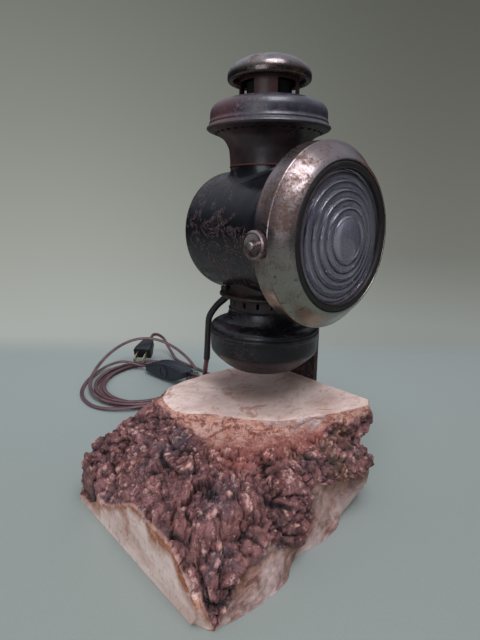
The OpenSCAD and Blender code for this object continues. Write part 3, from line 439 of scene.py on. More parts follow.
def smooth(mesh: Mesh, sharp: float) -> None:
    """Shades a mesh smooth, but for edges past an angle in degrees."""
    mesh.polygons.foreach_set("use_smooth", [True] * len(mesh.polygons))
    mesh.set_sharp_from_angle(angle=math.radians(sharp))


def mend(mesh: Mesh, merge: bool = True, flat: bool = True, turn: bool = True) -> None:
    """Cleans a mesh.

    Args:
        mesh: The mesh.
        merge: Whether doubles are merged.
        flat: Whether faces without area are dropped.
        turn: Whether faces are turned outwards.
    """
    work = bmesh.new()
    work.from_mesh(mesh)
    if merge:
        bmesh.ops.remove_doubles(work, verts=work.verts, dist=MERGE)
    if flat:
        bmesh.ops.dissolve_degenerate(work, edges=work.edges, dist=NO_AREA)
    if turn:
        bmesh.ops.recalc_face_normals(work, faces=work.faces)
    work.to_mesh(mesh)
    work.free()


def build_mesh(name: str, points: Iterable, faces: Iterable, finish: Finish, sharp: float = SHARP,
               tidy: bool = True) -> Piece:
    """Makes an object at the origin from points in metres.

    Args:
        name: The piece's name.
        points: Its points.
        faces: Its faces, as lists of point numbers.
        finish: Its finish.
        sharp: Angle past which an edge stays sharp.
        tidy: Whether doubles are merged and faces turned outwards.

    Returns:
        The object.
    """
    mesh = bpy.data.meshes.new(name)
    mesh.from_pydata([tuple(map(float, p)) for p in points], [], [tuple(map(int, f)) for f in faces])
    if tidy:
        mend(mesh)
    smooth(mesh, sharp)
    mesh.materials.append(material(finish))
    piece = bpy.data.objects.new(name, mesh)
    bpy.context.scene.collection.objects.link(piece)
    return piece


def quads(rows: int, cols: int, closed: bool = False) -> Array:
    """Numbers the faces of a grid of points whose rows are closed rings.

    Args:
        rows: Rows of points.
        cols: Points in a row.
        closed: Whether the last row joins the first.

    Returns:
        The faces, n by 4.
    """
    i, j = np.meshgrid(np.arange(rows if closed else rows - 1), np.arange(cols), indexing="ij")
    ahead, beside = (i + 1) % rows * cols, (j + 1) % cols
    return np.stack([i * cols + j, ahead + j, ahead + beside, i * cols + beside], axis=-1).reshape(-1, 4)


def spline(a: Array, b: Array, c: Array, d: Array, t: float) -> Array:
    """A smooth line's point between b and c, with a and d as the points beyond."""
    return 0.5 * (2 * b + (c - a) * t + (2 * a - 5 * b + 4 * c - d) * t * t + (3 * b - a - 3 * c + d) * t ** 3)


def flow(points: Sequence[Sequence[float]], per: int = 4) -> list[tuple[float, ...]]:
    """Draws a smooth line through points.

    Args:
        points: The points, of any dimension.
        per: Steps from one to the next.

    Returns:
        The points of the smooth line.
    """
    p = [np.array(v, float) for v in points]
    p = [p[0]] + p + [p[-1]]
    return [tuple(spline(*p[i:i + 4], k / per)) for i in range(len(p) - 3) for k in range(per)] + [tuple(p[-1])]


def up(z: float, *points: Pair) -> list[Pair]:
    """Raises a profile's points by z."""
    return [(r, z + above) for r, above in points]


def inset(line: Sequence[Pair], wall: float) -> list[Pair]:
    """Draws the inner side of a sheet, backwards, so that the two close into a wall.

    Args:
        line: The outer side, from one edge to the other.
        wall: The sheet's thickness, to the left of the line.

    Returns:
        The inner side from the far edge back.
    """
    p = np.array(line, float)
    way = np.gradient(p, axis=0)
    way /= np.maximum(np.linalg.norm(way, axis=1, keepdims=True), 1e-9)
    inner = p + wall * np.stack([-way[:, 1], way[:, 0]], axis=1)
    inner[:, 0] = np.maximum(inner[:, 0], 0.0)
    return [tuple(v) for v in inner[::-1]]


def turned(name: str, profile: Sequence[Pair], finish: Finish, axis: Axis = Axis.UPRIGHT,
           segments: int = RING_SEGMENTS, sharp: float = SHARP) -> Piece:
    """Turns a closed profile into a solid.

    Args:
        name: The piece's name.
        profile: Radius and height, or reach to the front, in millimetres.
        finish: Its finish.
        axis: The line that it is turned about.
        segments: Steps round the axis.
        sharp: Angle past which an edge stays sharp.

    Returns:
        The piece.
    """
    ring = np.linspace(0, 2 * math.pi, segments, endpoint=False)
    radius, height = np.array(profile, float).T
    x, y = np.outer(np.cos(ring), radius), np.outer(np.sin(ring), radius)
    z = np.broadcast_to(height, x.shape)
    points = np.stack([x, y, z] if axis is Axis.UPRIGHT else [x, -z, AXIS_Z + y], axis=-1).reshape(-1, 3) * MM
    return build_mesh(name, points, quads(segments, len(radius), True), finish, sharp)


def bent_tube(name: str, path: Array, section: Array, finish: Finish, start: Triple,
              sizes: Sequence[float] | None = None, middle: int = 0) -> Piece:
    """Sweeps a section along a path without twist, with closed ends.

    Args:
        name: The piece's name.
        path: Points in metres.
        section: The section's points in metres, across and up, and how deep in the groove each lies.
        finish: Its finish.
        start: The upward direction at the middle point.
        sizes: A scale for the section at each point.
        middle: The point that the upward direction is given for.

    Returns:
        The piece.
    """
    way = np.gradient(path, axis=0)
    way /= np.linalg.norm(way, axis=1, keepdims=True)
    above = np.zeros_like(path)
    above[middle] = np.array(start) - way[middle] * float(np.dot(start, way[middle]))
    for order in (range(middle + 1, len(path)), range(middle - 1, -1, -1)):
        last = above[middle]
        for i in order:
            last = last - way[i] * float(np.dot(last, way[i]))
            last = last / np.linalg.norm(last)
            above[i] = last
    above[middle] /= np.linalg.norm(above[middle])
    across = np.cross(way, above)
    scale = np.ones(len(path)) if sizes is None else np.array(sizes)
    rings = path[:, None] + scale[:, None, None] * (across[:, None] * section[None, :, :1]
                                                    + above[:, None] * section[None, :, 1:2])
    count, sides = len(path), len(section)
    faces = [list(f) for f in quads(count, sides)[:, [0, 3, 2, 1]]]
    faces += [list(range(sides))[::-1], [(count - 1) * sides + k for k in range(sides)]]
    piece = build_mesh(name, rings.reshape(-1, 3), faces, finish, 50, tidy=False)
    mend(piece.data, merge=False, flat=False)
    carry(piece.data, "groove_shade", np.tile(section[:, 2], count))
    return piece


def carry(mesh: Mesh, name: str, values: Array) -> None:
    """Lets a mesh carry one number at each of its points."""
    mesh.attributes.new(name, "FLOAT", "POINT").data.foreach_set("value", values.astype(np.float32))


def settle(piece: Piece, body: str, slot: str, *nodes: str) -> Piece:
    """Gives a piece its body and hides the CAD nodes that it stands for.

    Args:
        piece: The piece.
        body: The body that it moves with.
        slot: The record's material slot, not used.
        *nodes: The CAD nodes that it replaces.

    Returns:
        The same piece.
    """
    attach(piece, body)
    if nodes:
        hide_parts(*nodes)
    log.info("%s: %d faces on %s", piece.name, len(piece.data.polygons), body)
    return piece


def dress(finish: Finish, *nodes: str) -> None:
    """Gives CAD nodes that stay in sight a finish."""
    for node in nodes:
        mesh = frame["nodes"][node].data
        if not mesh.materials:
            mesh.materials.append(None)
        for i in range(len(mesh.materials)):
            mesh.materials[i] = material(finish)
        log.info("%s: dressed as %s", node, finish.name)


class Pattern(Tree):
    """A Geometry Nodes tree that repeats a shape round an axis, on its own or as cuts."""

    def __init__(self, name: str, *vectors: str) -> None:
        """Starts the tree and its inputs.

        Args:
            name: The tree's name.
            *vectors: Its vector inputs besides Centre and Step.
        """
        super().__init__(bpy.data.node_groups.new(name, "GeometryNodeTree"), "GeometryNode")
        face = self.tree.interface
        face.new_socket("Geometry", in_out="OUTPUT", socket_type="NodeSocketGeometry")
        kinds = {"Geometry": "Geometry", "Count": "Int", "Finish": "Material"}
        self.ids = {key: face.new_socket(key, in_out="INPUT", socket_type="NodeSocket" + kinds.get(key, "Vector")
                                         ).identifier
                    for key in ("Geometry", "Count", "Centre", "Step", *vectors, "Finish")}
        self.way_in = self.tree.nodes.new("NodeGroupInput")

    def moved(self, source: Socket, **by: object) -> Socket:
        """Moves or turns a shape."""
        return self.out("Transform", {"Geometry": source, **by})

    def times(self, vector: Socket, scale: object) -> Socket:
        """Scales a vector."""
        return self.out("ShaderNodeVectorMath", {0: vector, "Scale": scale}, operation="SCALE")

    def copies(self, source: Socket) -> Socket:
        """Places Count copies of a shape, each turned a step further about an axis through Centre.

        Args:
            source: The shape, at its own place.

        Returns:
            The copies, realized.
        """
        given = self.way_in.outputs
        placed = self.out("InstanceOnPoints", {
            "Points": self.out("Points", {"Count": given["Count"], "Position": given["Centre"]}),
            "Instance": self.moved(source, Translation=self.times(given["Centre"], -1.0)),
            "Rotation": self.times(given["Step"], self.out("InputIndex"))})
        return self.out("RealizeInstances", {0: placed})

    def close(self, result: Socket) -> Pattern:
        """Ends the tree in Set Material and gives it back."""
        ready = self.out("RealizeInstances", {0: result})
        last = self.out("SetMaterial", {"Geometry": ready, "Material": self.way_in.outputs["Finish"]})
        self.add("NodeGroupOutput", {0: last})
        return self

    def run(self, piece: Piece, finish: Finish, sharp: float = SHARP, **values: object) -> Piece:
        """Runs the tree on a piece and keeps the result as its plain mesh.

        Args:
            piece: The piece whose mesh goes in.
            finish: The finish of the result.
            sharp: Angle past which an edge stays sharp.
            **values: The tree's inputs by name.

        Returns:
            The same piece with its new mesh.
        """
        modifier = piece.modifiers.new("pattern", "NODES")
        modifier.node_group = self.tree
        for name, value in {"Centre": (0, 0, 0), **values, "Finish": material(finish)}.items():
            modifier[self.ids[name]] = value
        bpy.context.view_layer.update()
        mesh = bpy.data.meshes.new_from_object(piece.evaluated_get(bpy.context.evaluated_depsgraph_get()))
        piece.modifiers.remove(modifier)
        piece.data = mesh
        mesh.name = piece.name
        mend(mesh, turn=False)
        smooth(mesh, sharp)
        return piece


def ring_copies() -> Pattern:
    """Builds the tree that repeats a shape round an axis."""
    made = Pattern("ring_copies")
    return made.close(made.copies(made.way_in.outputs["Geometry"]))


def ring_cuts() -> Pattern:
    """Builds the tree that cuts a ring of box-shaped slots through a piece."""
    made = Pattern("ring_cuts", "Size", "Place", "First")
    given = made.way_in.outputs
    box = made.out("MeshCube", {"Size": given["Size"]})
    cuts = made.copies(made.moved(made.moved(box, Translation=given["Place"]), Rotation=given["First"]))
    return made.close(made.out("MeshBoolean", {0: given["Geometry"], 1: cuts}, operation="DIFFERENCE"))


@dataclass
class Studio:
    """Camera, pale floor and soft light, at the photograph's angle, in metres but for the lens.

    LIGHTS gives each light's name, place, side, power in watts and colour.
    """

    place: Triple = (-0.2648, -0.2603, 0.2273)
    right: Triple = (0.741, -0.67147, 0.00652)
    up: Triple = (0.16411, 0.1905, 0.96787)
    ahead: Triple = (0.6727, 0.7399, 0.0)
    sensor: float = 36.0
    focal: float = 450 / 640 * 36
    sweep_near: float = 0.27
    sweep_far: float = 0.40
    reach: float = 2.6
    below: float = -2e-4
    aim: Triple = (0.0, 0.0, 0.15)

    LIGHTS = (("overhead", (-0.22, -0.5, 1.35), 0.75, 9.5, (246, 248, 255)),
              ("window", (-1.25, -0.55, 0.55), 0.7, 5.0, (236, 244, 255)),
              ("spot_small", (-0.35, -0.75, 1.5), 0.05, 1.2, (255, 250, 242)))

    def put(self, name: str, data: object) -> Piece:
        """Makes an object and links it to the scene."""
        made = bpy.data.objects.new(name, data)
        bpy.context.scene.collection.objects.link(made)
        return made

    def camera(self) -> None:
        """Sets the camera, with its lens given for the frame's height."""
        data = bpy.data.cameras.new("camera")
        data.sensor_fit, data.sensor_height, data.lens = "VERTICAL", self.sensor, self.focal
        data.clip_start = 0.01
        right = Vector(self.right).normalized()
        back = right.cross(Vector(self.up)).normalized()
        camera = self.put("camera", data)
        camera.matrix_world = Matrix.Translation(self.place) @ Matrix(
            (right, back.cross(right), back)).transposed().to_4x4()
        bpy.context.scene.camera = camera

    def floor(self) -> None:
        """Lays a pale floor that keeps the shadow, painted lighter further back and darker towards the right, and fades
        into the backdrop behind the lamp.
        """
        g = Graph("floor_paper")
        g.tree.nodes.remove(g.shader)
        ahead = g.along(self.ahead)
        # painted light and shade on the floor: lighter further back, darker towards the right
        tone = g.coats((150, 157, 153), (ahead.band(-0.25, 0.3), (168, 176, 176)),
                       (g.along(TO_THE_RIGHT).band(0.0, 0.35, 0.0, 0.25), (120, 122, 120)))
        grain = g.noise(1500, 3).band(0.3, 0.7, 0.97, 1.03)
        matt = g.out("BsdfDiffuse", {"Color": g.out("VectorMath", {0: tone, "Scale": grain}, operation="SCALE")})
        share = ahead.band(self.sweep_near, self.sweep_far)
        g.put(g.output.inputs["Surface"], g.out("MixShader", {0: share, 1: matt, 2: g.out("BsdfTransparent")}))
        mesh = bpy.data.meshes.new("floor")
        mesh.from_pydata([(self.reach * x, self.reach * y, self.below)
                          for x, y in ((-1, -1), (1, -1), (1, 1), (-1, 1))], [], [(0, 1, 2, 3)])
        mesh.materials.append(g.material)
        self.put("floor", mesh)

    def world(self) -> None:
        """Fills the room with soft light and shows the camera a backdrop with painted shade, darker towards the top and
        towards the right.
        """
        world = bpy.context.scene.world = bpy.data.worlds.new("room")
        world.use_nodes = True
        room = Tree(world.node_tree)

        def ramp(low: float, high: float, *stops: tuple[float, Rgb]) -> Socket:
            """Maps the height of a ray, from low to high, through colour stops."""
            node = room.add("ValToRGB", {0: room.out("MapRange", {0: height, 1: low, 2: high})})
            while len(node.color_ramp.elements) < len(stops):
                node.color_ramp.elements.new(0.5)
            for element, (at, colour) in zip(node.color_ramp.elements, stops):
                element.position, element.color = at, linear(colour)
            return node.outputs[0]

        def shine(colour: Socket) -> Socket:
            """Makes a colour light."""
            return room.out("Background", {"Color": colour, "Strength": 1.0})

        way = room.out("TexCoord", {}, "Generated")
        height = room.out("SeparateXYZ", {0: way}, 2)
        side = room.out("VectorMath", {0: way, 1: TO_THE_RIGHT}, "Value", operation="DOT_PRODUCT")
        # painted shade on the backdrop: darker higher up and darker on the right
        left = ramp(-0.6, 0.4, (0.0, (168, 172, 168)), (0.36, (168, 172, 168)), (0.5, (158, 161, 154)),
                    (0.75, (136, 139, 132)), (1.0, (112, 115, 108)))
        right = ramp(-0.6, 0.4, (0.0, (140, 144, 140)), (0.36, (140, 144, 140)), (0.5, (116, 117, 111)),
                     (0.75, (100, 101, 95)), (1.0, (82, 83, 77)))
        share = room.out("MapRange", {0: side, 1: -0.4, 2: 0.45}, interpolation_type="SMOOTHSTEP")
        seen = room.out("Mix", {0: share, 6: left, 7: right}, 2, data_type="RGBA")
        lit = ramp(-1.0, 1.0, (0.0, (120, 124, 122)), (0.5, (110, 112, 108)), (0.8, (165, 168, 166)),
                   (1.0, (205, 208, 208)))
        gloss = ramp(-1.0, 1.0, (0.0, (112, 118, 112)), (0.4, (86, 88, 88)), (0.5, (34, 34, 38)), (0.62, (56, 58, 68)),
                     (0.76, (170, 176, 188)), (1.0, (222, 228, 238)))
        rays = room.add("LightPath").outputs
        around = room.out("MixShader", {0: rays["Is Glossy Ray"], 1: shine(lit), 2: shine(gloss)})
        behind = room.out("Math", {0: rays["Is Camera Ray"], 1: rays["Is Transmission Ray"]}, operation="MAXIMUM")
        room.add("OutputWorld", {"Surface": room.out("MixShader", {0: behind, 1: around, 2: shine(seen)})})

    def lights(self) -> None:
        """Hangs the soft square lights, each facing the lamp."""
        for name, place, size, power, colour in self.LIGHTS:
            data = bpy.data.lights.new(name, "AREA")
            data.shape, data.size, data.energy, data.color = "SQUARE", size, power, linear(colour)[:3]
            light = self.put(name, data)
            light.location = place
            light.rotation_euler = (Vector(place) - Vector(self.aim)).to_track_quat("Z", "Y").to_euler()

    def build(self) -> None:
        """Sets up the whole studio."""
        self.camera()
        self.floor()
        self.world()
        self.lights()
        bpy.context.scene.view_settings.view_transform = "Standard"
        log.info("studio ready")


def fan(count: int, width: float, height: float, waist: float = 0.0) -> Array:
    """Draws the section of a round or twin lead, with a third column that marks its groove for painted shade.

    Args:
        count: Points round it.
        width: Its width in metres.
        height: Its height in metres.
        waist: How deep the groove is, as a share of the height.

    Returns:
        The section's points.
    """
    a = np.linspace(0, 2 * math.pi, count, endpoint=False)
    near = np.exp(-(np.cos(a) / 0.36) ** 2)
    return np.stack([0.5 * width * np.cos(a), 0.5 * height * np.sin(a) * (1 - waist * near), near * (waist > 0)],
                    axis=1)


def ease(x: object) -> Array:
    """Eases from 0 to 1."""
    c = np.clip(x, 0.0, 1.0)
    return c * c * (3 - 2 * c)


def heading(yaw: float, rise: float = 0.0) -> Array:
    """Direction for a turn about the upright and a rise from the table, in degrees."""
    yaw, rise = math.radians(yaw), math.radians(rise)
    return np.array([math.cos(yaw) * math.cos(rise), math.sin(yaw) * math.cos(rise), math.sin(rise)])


@dataclass
class Flex:
    """The twin flex: from the lamp's foot down behind the block, round its coil to the switch, and on to the plug."""

    width: float = 4.6
    height: float = 3.0
    waist: float = 0.26
    sleeve_d: float = 5.6
    sleeve_low: float = 84.5
    exit_r: float = 33.7
    exit_angle: float = 131.0
    flange_z: float = 153.5
    coil_at: Pair = (15.2, 223.4)
    squeeze: float = 0.87
    coil_start: float = -110.0
    coil_in_r: float = 63.0
    pitch: float = 6.6
    turns_low: float = 2.0
    turns: float = 5.0
    floor_z: float = 2.6
    layer: float = 4.7
    hump_at: float = 62.0
    hump_wide: float = 58.0
    hump_out: float = 7.5
    hump_up: float = 31.0
    held: float = 60.0
    sink: Pair = (1.1, 1.3)
    switch_at: Triple = (41.2, 215.8, 13.8)
    switch_turn: Pair = (-84.0, 8.0)
    switch_half: float = 46.0
    plug_at: Triple = (53.0, 293.0, 22.8)
    plug_turn: Pair = (219.0, -18.0)
    plug_half: float = 23.0

    def coil_point(self, t: float) -> Triple:
        """Finds a point of the coil.

        Args:
            t: Turns from its start.

        Returns:
            The point in millimetres.
        """
        a = self.coil_start - 360 * t
        past = t - self.turns_low
        rise, move = ease(past / 0.4), ease((past - 0.4) / 0.5)
        away = abs(math.fmod(a - self.hump_at, 360))
        hump = math.exp(-((min(away, 360 - away) / self.hump_wide) ** 2)) if t > self.turns - 1 else 0.0
        r = self.coil_in_r + self.pitch * (-past if past < 0 else max(0.0, past - 0.5)) + self.hump_out * hump
        x, y = r * math.cos(math.radians(a)), r * math.sin(math.radians(a))
        side_x, side_y = TO_THE_RIGHT[:2]
        narrow = (1 - self.squeeze) * (x * side_x + y * side_y)
        return (self.coil_at[0] + x - narrow * side_x - 5 * move, self.coil_at[1] + y - narrow * side_y + 3 * move,
                self.floor_z + self.layer * rise + self.hump_up * hump)

    def exit_point(self) -> Array:
        """Where the flex leaves the lamp's flange, in millimetres."""
        return np.append(heading(self.exit_angle)[:2] * self.exit_r, self.flange_z)

    def ends(self, at: Triple, turn: Pair, reach: float) -> list[tuple[float, ...]]:
        """Two points that lead 2 mm into a fitting's end from 5 mm before it.

        Args:
            at: The fitting's middle.
            turn: Its direction.
            reach: From its middle to that end, less than 0 where the flex leaves by its far end.

        Returns:
            The points, the outer one first.
        """
        way = heading(*turn) * math.copysign(1.0, reach)
        end = np.array(at) - way * abs(reach)
        return [tuple(end - 5 * way), tuple(end + 2 * way)]

    def main_route(self) -> Array:
        """The route from the lamp to the switch, in metres, with the flat flex lower than the CAD's round cord."""
        ex, first = self.exit_point(), self.coil_point(0)
        down = [tuple(ex + [0, 0, -1.6]), tuple(ex + [0, 0, -4]), (-25, 33, 142), (-26, 42, 131), (-23, 48, 119),
                (-21, 52, 102), (-19, 56, 86), (-17, 61, 74), (-14, 67, 58), (-11, 72, 40), (-8, 77, 22), (-4, 85, 8),
                (2, 97, 2.6), (8, 112, 2.6), (8, 128, 2.6), (first[0] + 11, first[1] - 4.5, first[2])]
        coil = [self.coil_point(i / 24) for i in range(int(24 * self.turns) + 1)]
        link = [(-42, 165, 6.5), (-60, 180, 4.5), (-70, 200, 3), (-71, 222, 2.8), (-66, 243, 2.8), (-56, 262, 2.8),
                (-42, 279, 3.2), (-24.7, 293.7, 4.7), (-4.8, 300.7, 8.8), (11.1, 293.3, 13), (21.4, 282, 12),
                (31.8, 273.3, 7.4), *self.ends(self.switch_at, self.switch_turn, self.switch_half)]
        path = np.array(flow(down, 4)[:-1] + flow([down[-1]] + coil + [link[0]], 3)[3:-4] + flow(link, 5))
        along = np.concatenate([[0], np.cumsum(np.linalg.norm(np.diff(path, axis=0), axis=1))])
        z, (on_table, on_coil) = path[:, 2], self.sink
        path[:, 2] = z - (on_table + on_coil * ease((z - self.floor_z) / self.layer)) \
            * ease((along[-1] - along) / self.held) * ease((90 - z) / 60)
        return path * MM

    def tail_route(self) -> Array:
        """The route from the switch to the plug, in metres."""
        path = np.array(flow([
            *self.ends(self.switch_at, self.switch_turn, -self.switch_half)[::-1], (47.7, 154.4, 20.6),
            (53.7, 144.9, 18.1), (64, 141.8, 12.8), (76.4, 148.9, 6.9), (85.8, 166.6, 3), (91.1, 187.7, 2.6),
            (92.2, 211.5, 2.6), (91.3, 232.4, 2.6), (90.5, 252.7, 2.6), (91.4, 272.8, 3.4), (95.4, 289.5, 7.5),
            (98.3, 303.5, 12.8), (96.9, 312.4, 23.1), (89.6, 315.8, 30.2), (80.2, 314, 32.9),
            *self.ends(self.plug_at, self.plug_turn, self.plug_half)], 5))
        path[:, 2] -= self.sink[0] * ease((10.5 - path[:, 2]) / 7)
        return path * MM

    @staticmethod
    def length(path: Array) -> float:
        """Length of a route in metres."""
        return float(np.linalg.norm(np.diff(path, axis=0), axis=1).sum())

    def build(self) -> None:
        section = fan(14, self.width * MM, self.height * MM, self.waist)
        main, tail_path = self.main_route(), self.tail_route()
        flat = int(np.argmin(np.abs(main[:, 2] - 0.0015) + (np.arange(len(main)) < 90)))
        flex = settle(bent_tube("flex_main", main, section, FlexSkin(), (0, 0, 1), middle=flat),
                      "stand", "cord_vinyl", "cord_drop", "cord_coil", "cord_link")
        tail = settle(bent_tube("flex_tail", tail_path, section, FlexSkin(), (0, 0, 1), middle=40),
                      "stand", "cord_vinyl", "cord_tail")
        top = main[main[:, 2] > self.sleeve_low * MM]
        grow = [1.16 - 0.16 * ease(i / 10) + 0.05 * ease((i - len(top) + 6) / 5) for i in range(len(top))]
        sleeve = settle(bent_tube("flex_sleeve", top, fan(20, self.sleeve_d * MM, self.sleeve_d * MM),
                                  Moulded("black_sleeve", (24, 24, 28), 0.35), (0, 1, 0), grow),
                        "stand", "black_rubber", "cord_sleeve")
        nodes = frame["nodes"]
        tuple(self.exit_point() * MM)
        self.length(main)
        ([sleeve] + [nodes[n] for n in ("switch_back", "switch_front", "switch_screws",
                                                           "switch_dial")])
        self.length(tail_path)
        log.info("flex: %.3f m to the switch, %.3f m to the plug", self.length(main), self.length(tail_path))


PAINT = WornPaint()
BOWL_PAINT = WornPaint("bowl_black_paint", wear=0.42, gloss=0.33, side_wear=0.25, scratches=0.25)
NICKEL = OldNickel()
DOOR_NICKEL = OldNickel("door_nickel", amount=0.4, door=True)
CAP_NICKEL = OldNickel("cap_nickel", (180, 174, 172), shade_z=0.3205)
KNOB_METAL = OldNickel("knob_metal", (176, 158, 156), (104, 82, 78))
# black of painted shade, for the neck's inside, the slits' cut faces and the sleeve behind the gallery windows
PAINTED_SHADE_BLACK = Moulded("lamp_painted_shade_black", (13, 11, 11), 0.85)
PACKING = Moulded("packing", (20, 16, 17), 0.5, 0.8)
BROWN = WornPaint("brown_black_paint", (50, 37, 40), (104, 64, 60), 0.58, 0.44, 0.4, 0.35, 0.2549, flush=0.35)
SOOT = WornPaint("sooty_brown_paint", (42, 26, 26), (84, 50, 46), 0.45, 0.5, 0.3, 0.3)
RUSTY = WornPaint("rusty_steel", (78, 50, 48), (112, 66, 58), 0.7, 0.6, 0.3, 0.3)
HOOD_GREY = WornPaint("hood_grey_paint", (50, 46, 60), (92, 54, 56), 0.55, 0.36, 0.75, 0.3, flush=0.85, shine=0.7)


def cut_ring(cuts: Pattern, piece: Piece, finish: Finish, count: int, size: Triple, at: Pair,
             first: float = 0.0) -> Piece:
    """Cuts a ring of slots, each with a size out, round and up and a middle at a radius and height, in millimetres."""
    return cuts.run(piece, finish, Count=count, Step=(0, 0, 2 * math.pi / count), Size=tuple(v * MM for v in size),
                    Place=(at[0] * MM, 0, at[1] * MM), First=(0, 0, first))


@dataclass
class LampBody:
    """The spun body: domed behind, straight in the middle and flared to the door, with its round collar."""

    barrel_r: float = 49.0
    wall: float = 1.2
    back: float = 55.0
    straight: float = 31.0
    front: float = 60.0
    mouth_r: float = 62.0
    collar_r: float = 29.2
    collar_top: float = 254.0
    flange_z: float = 153.5
    flange_r: float = 38.0
    neck_r: float = 29.4

    def outer_line(self) -> list[Pair]:
        """The body's outer profile from its back pole to its front edge."""
        reach = self.back - self.straight
        share = [(x, (1 - x ** 4) ** 0.25) for x in np.linspace(0, 0.84, 16)]
        share += [((1 - y ** 4) ** 0.25, y) for y in np.linspace(0.82, 0, 14)]
        dome = [(self.barrel_r * x, -self.straight - reach * y) for x, y in share]
        flare = flow([(49, 26), (49.05, 31), (50.8, 35.6), (53.8, 40.9), (57.7, 46.4), (60.9, 50.8), (62, 54),
                      (62, 57)], 5)
        return dome + [(49.0, -15.0), (49.0, 5.0)] + flare + [(self.mouth_r, self.front)]

    def collar(self) -> Piece:
        """The round collar, with a fillet that runs down onto the barrel."""
        r, inner, points = self.collar_r, self.collar_r - self.wall, []
        for k in range(RING_SEGMENTS):
            a = 2 * math.pi * k / RING_SEGMENTS
            low = {out: AXIS_Z + math.sqrt(self.barrel_r ** 2 - min((r + out) * math.cos(a), 48.0) ** 2)
                   for out in (0.0, 0.35, 0.9, 2.0, 3.6, 6.0)}
            row = [(inner, self.collar_top), (r - 0.25, self.collar_top), (r, self.collar_top - 0.3)]
            row += [(r + out, z + 3.4 * math.exp(-out / 1.3) - 0.55) for out, z in low.items()]
            row.append((inner, low[0.0] - 2.0))
            points += [(far * math.cos(a) * MM, far * math.sin(a) * MM, z * MM) for far, z in row]
        return build_mesh("round_collar", points, quads(RING_SEGMENTS, len(row), True), PAINT)

    def build(self) -> None:
        """Builds the body, its collar and the flange that stands on the fount."""
        line = self.outer_line()
        settle(turned("lamp_body", line + inset(line, self.wall), PAINT, Axis.FACE), "stand", "black_paint",
               "barrel", "body_back", "body_mouth")
        settle(self.collar(), "stand", "black_paint", "collar")
        r, neck, inner = self.flange_r, self.neck_r, self.neck_r - self.wall
        edge = flow([(r - 1.2, 0), (r - 0.2, 0.7), (r, 1.5), (r - 0.2, 2.3), (r - 1.2, 3.0)], 3)
        profile = up(self.flange_z, (inner, 0), *edge, (34, 3.0), (neck + 1.4, 3.4), (neck, 4.6), (neck, 9.0),
                     (neck, 13.0), (inner, 13.0))
        settle(turned("foot_flange", profile, SOOT), "stand", "black_paint", "body_flange")


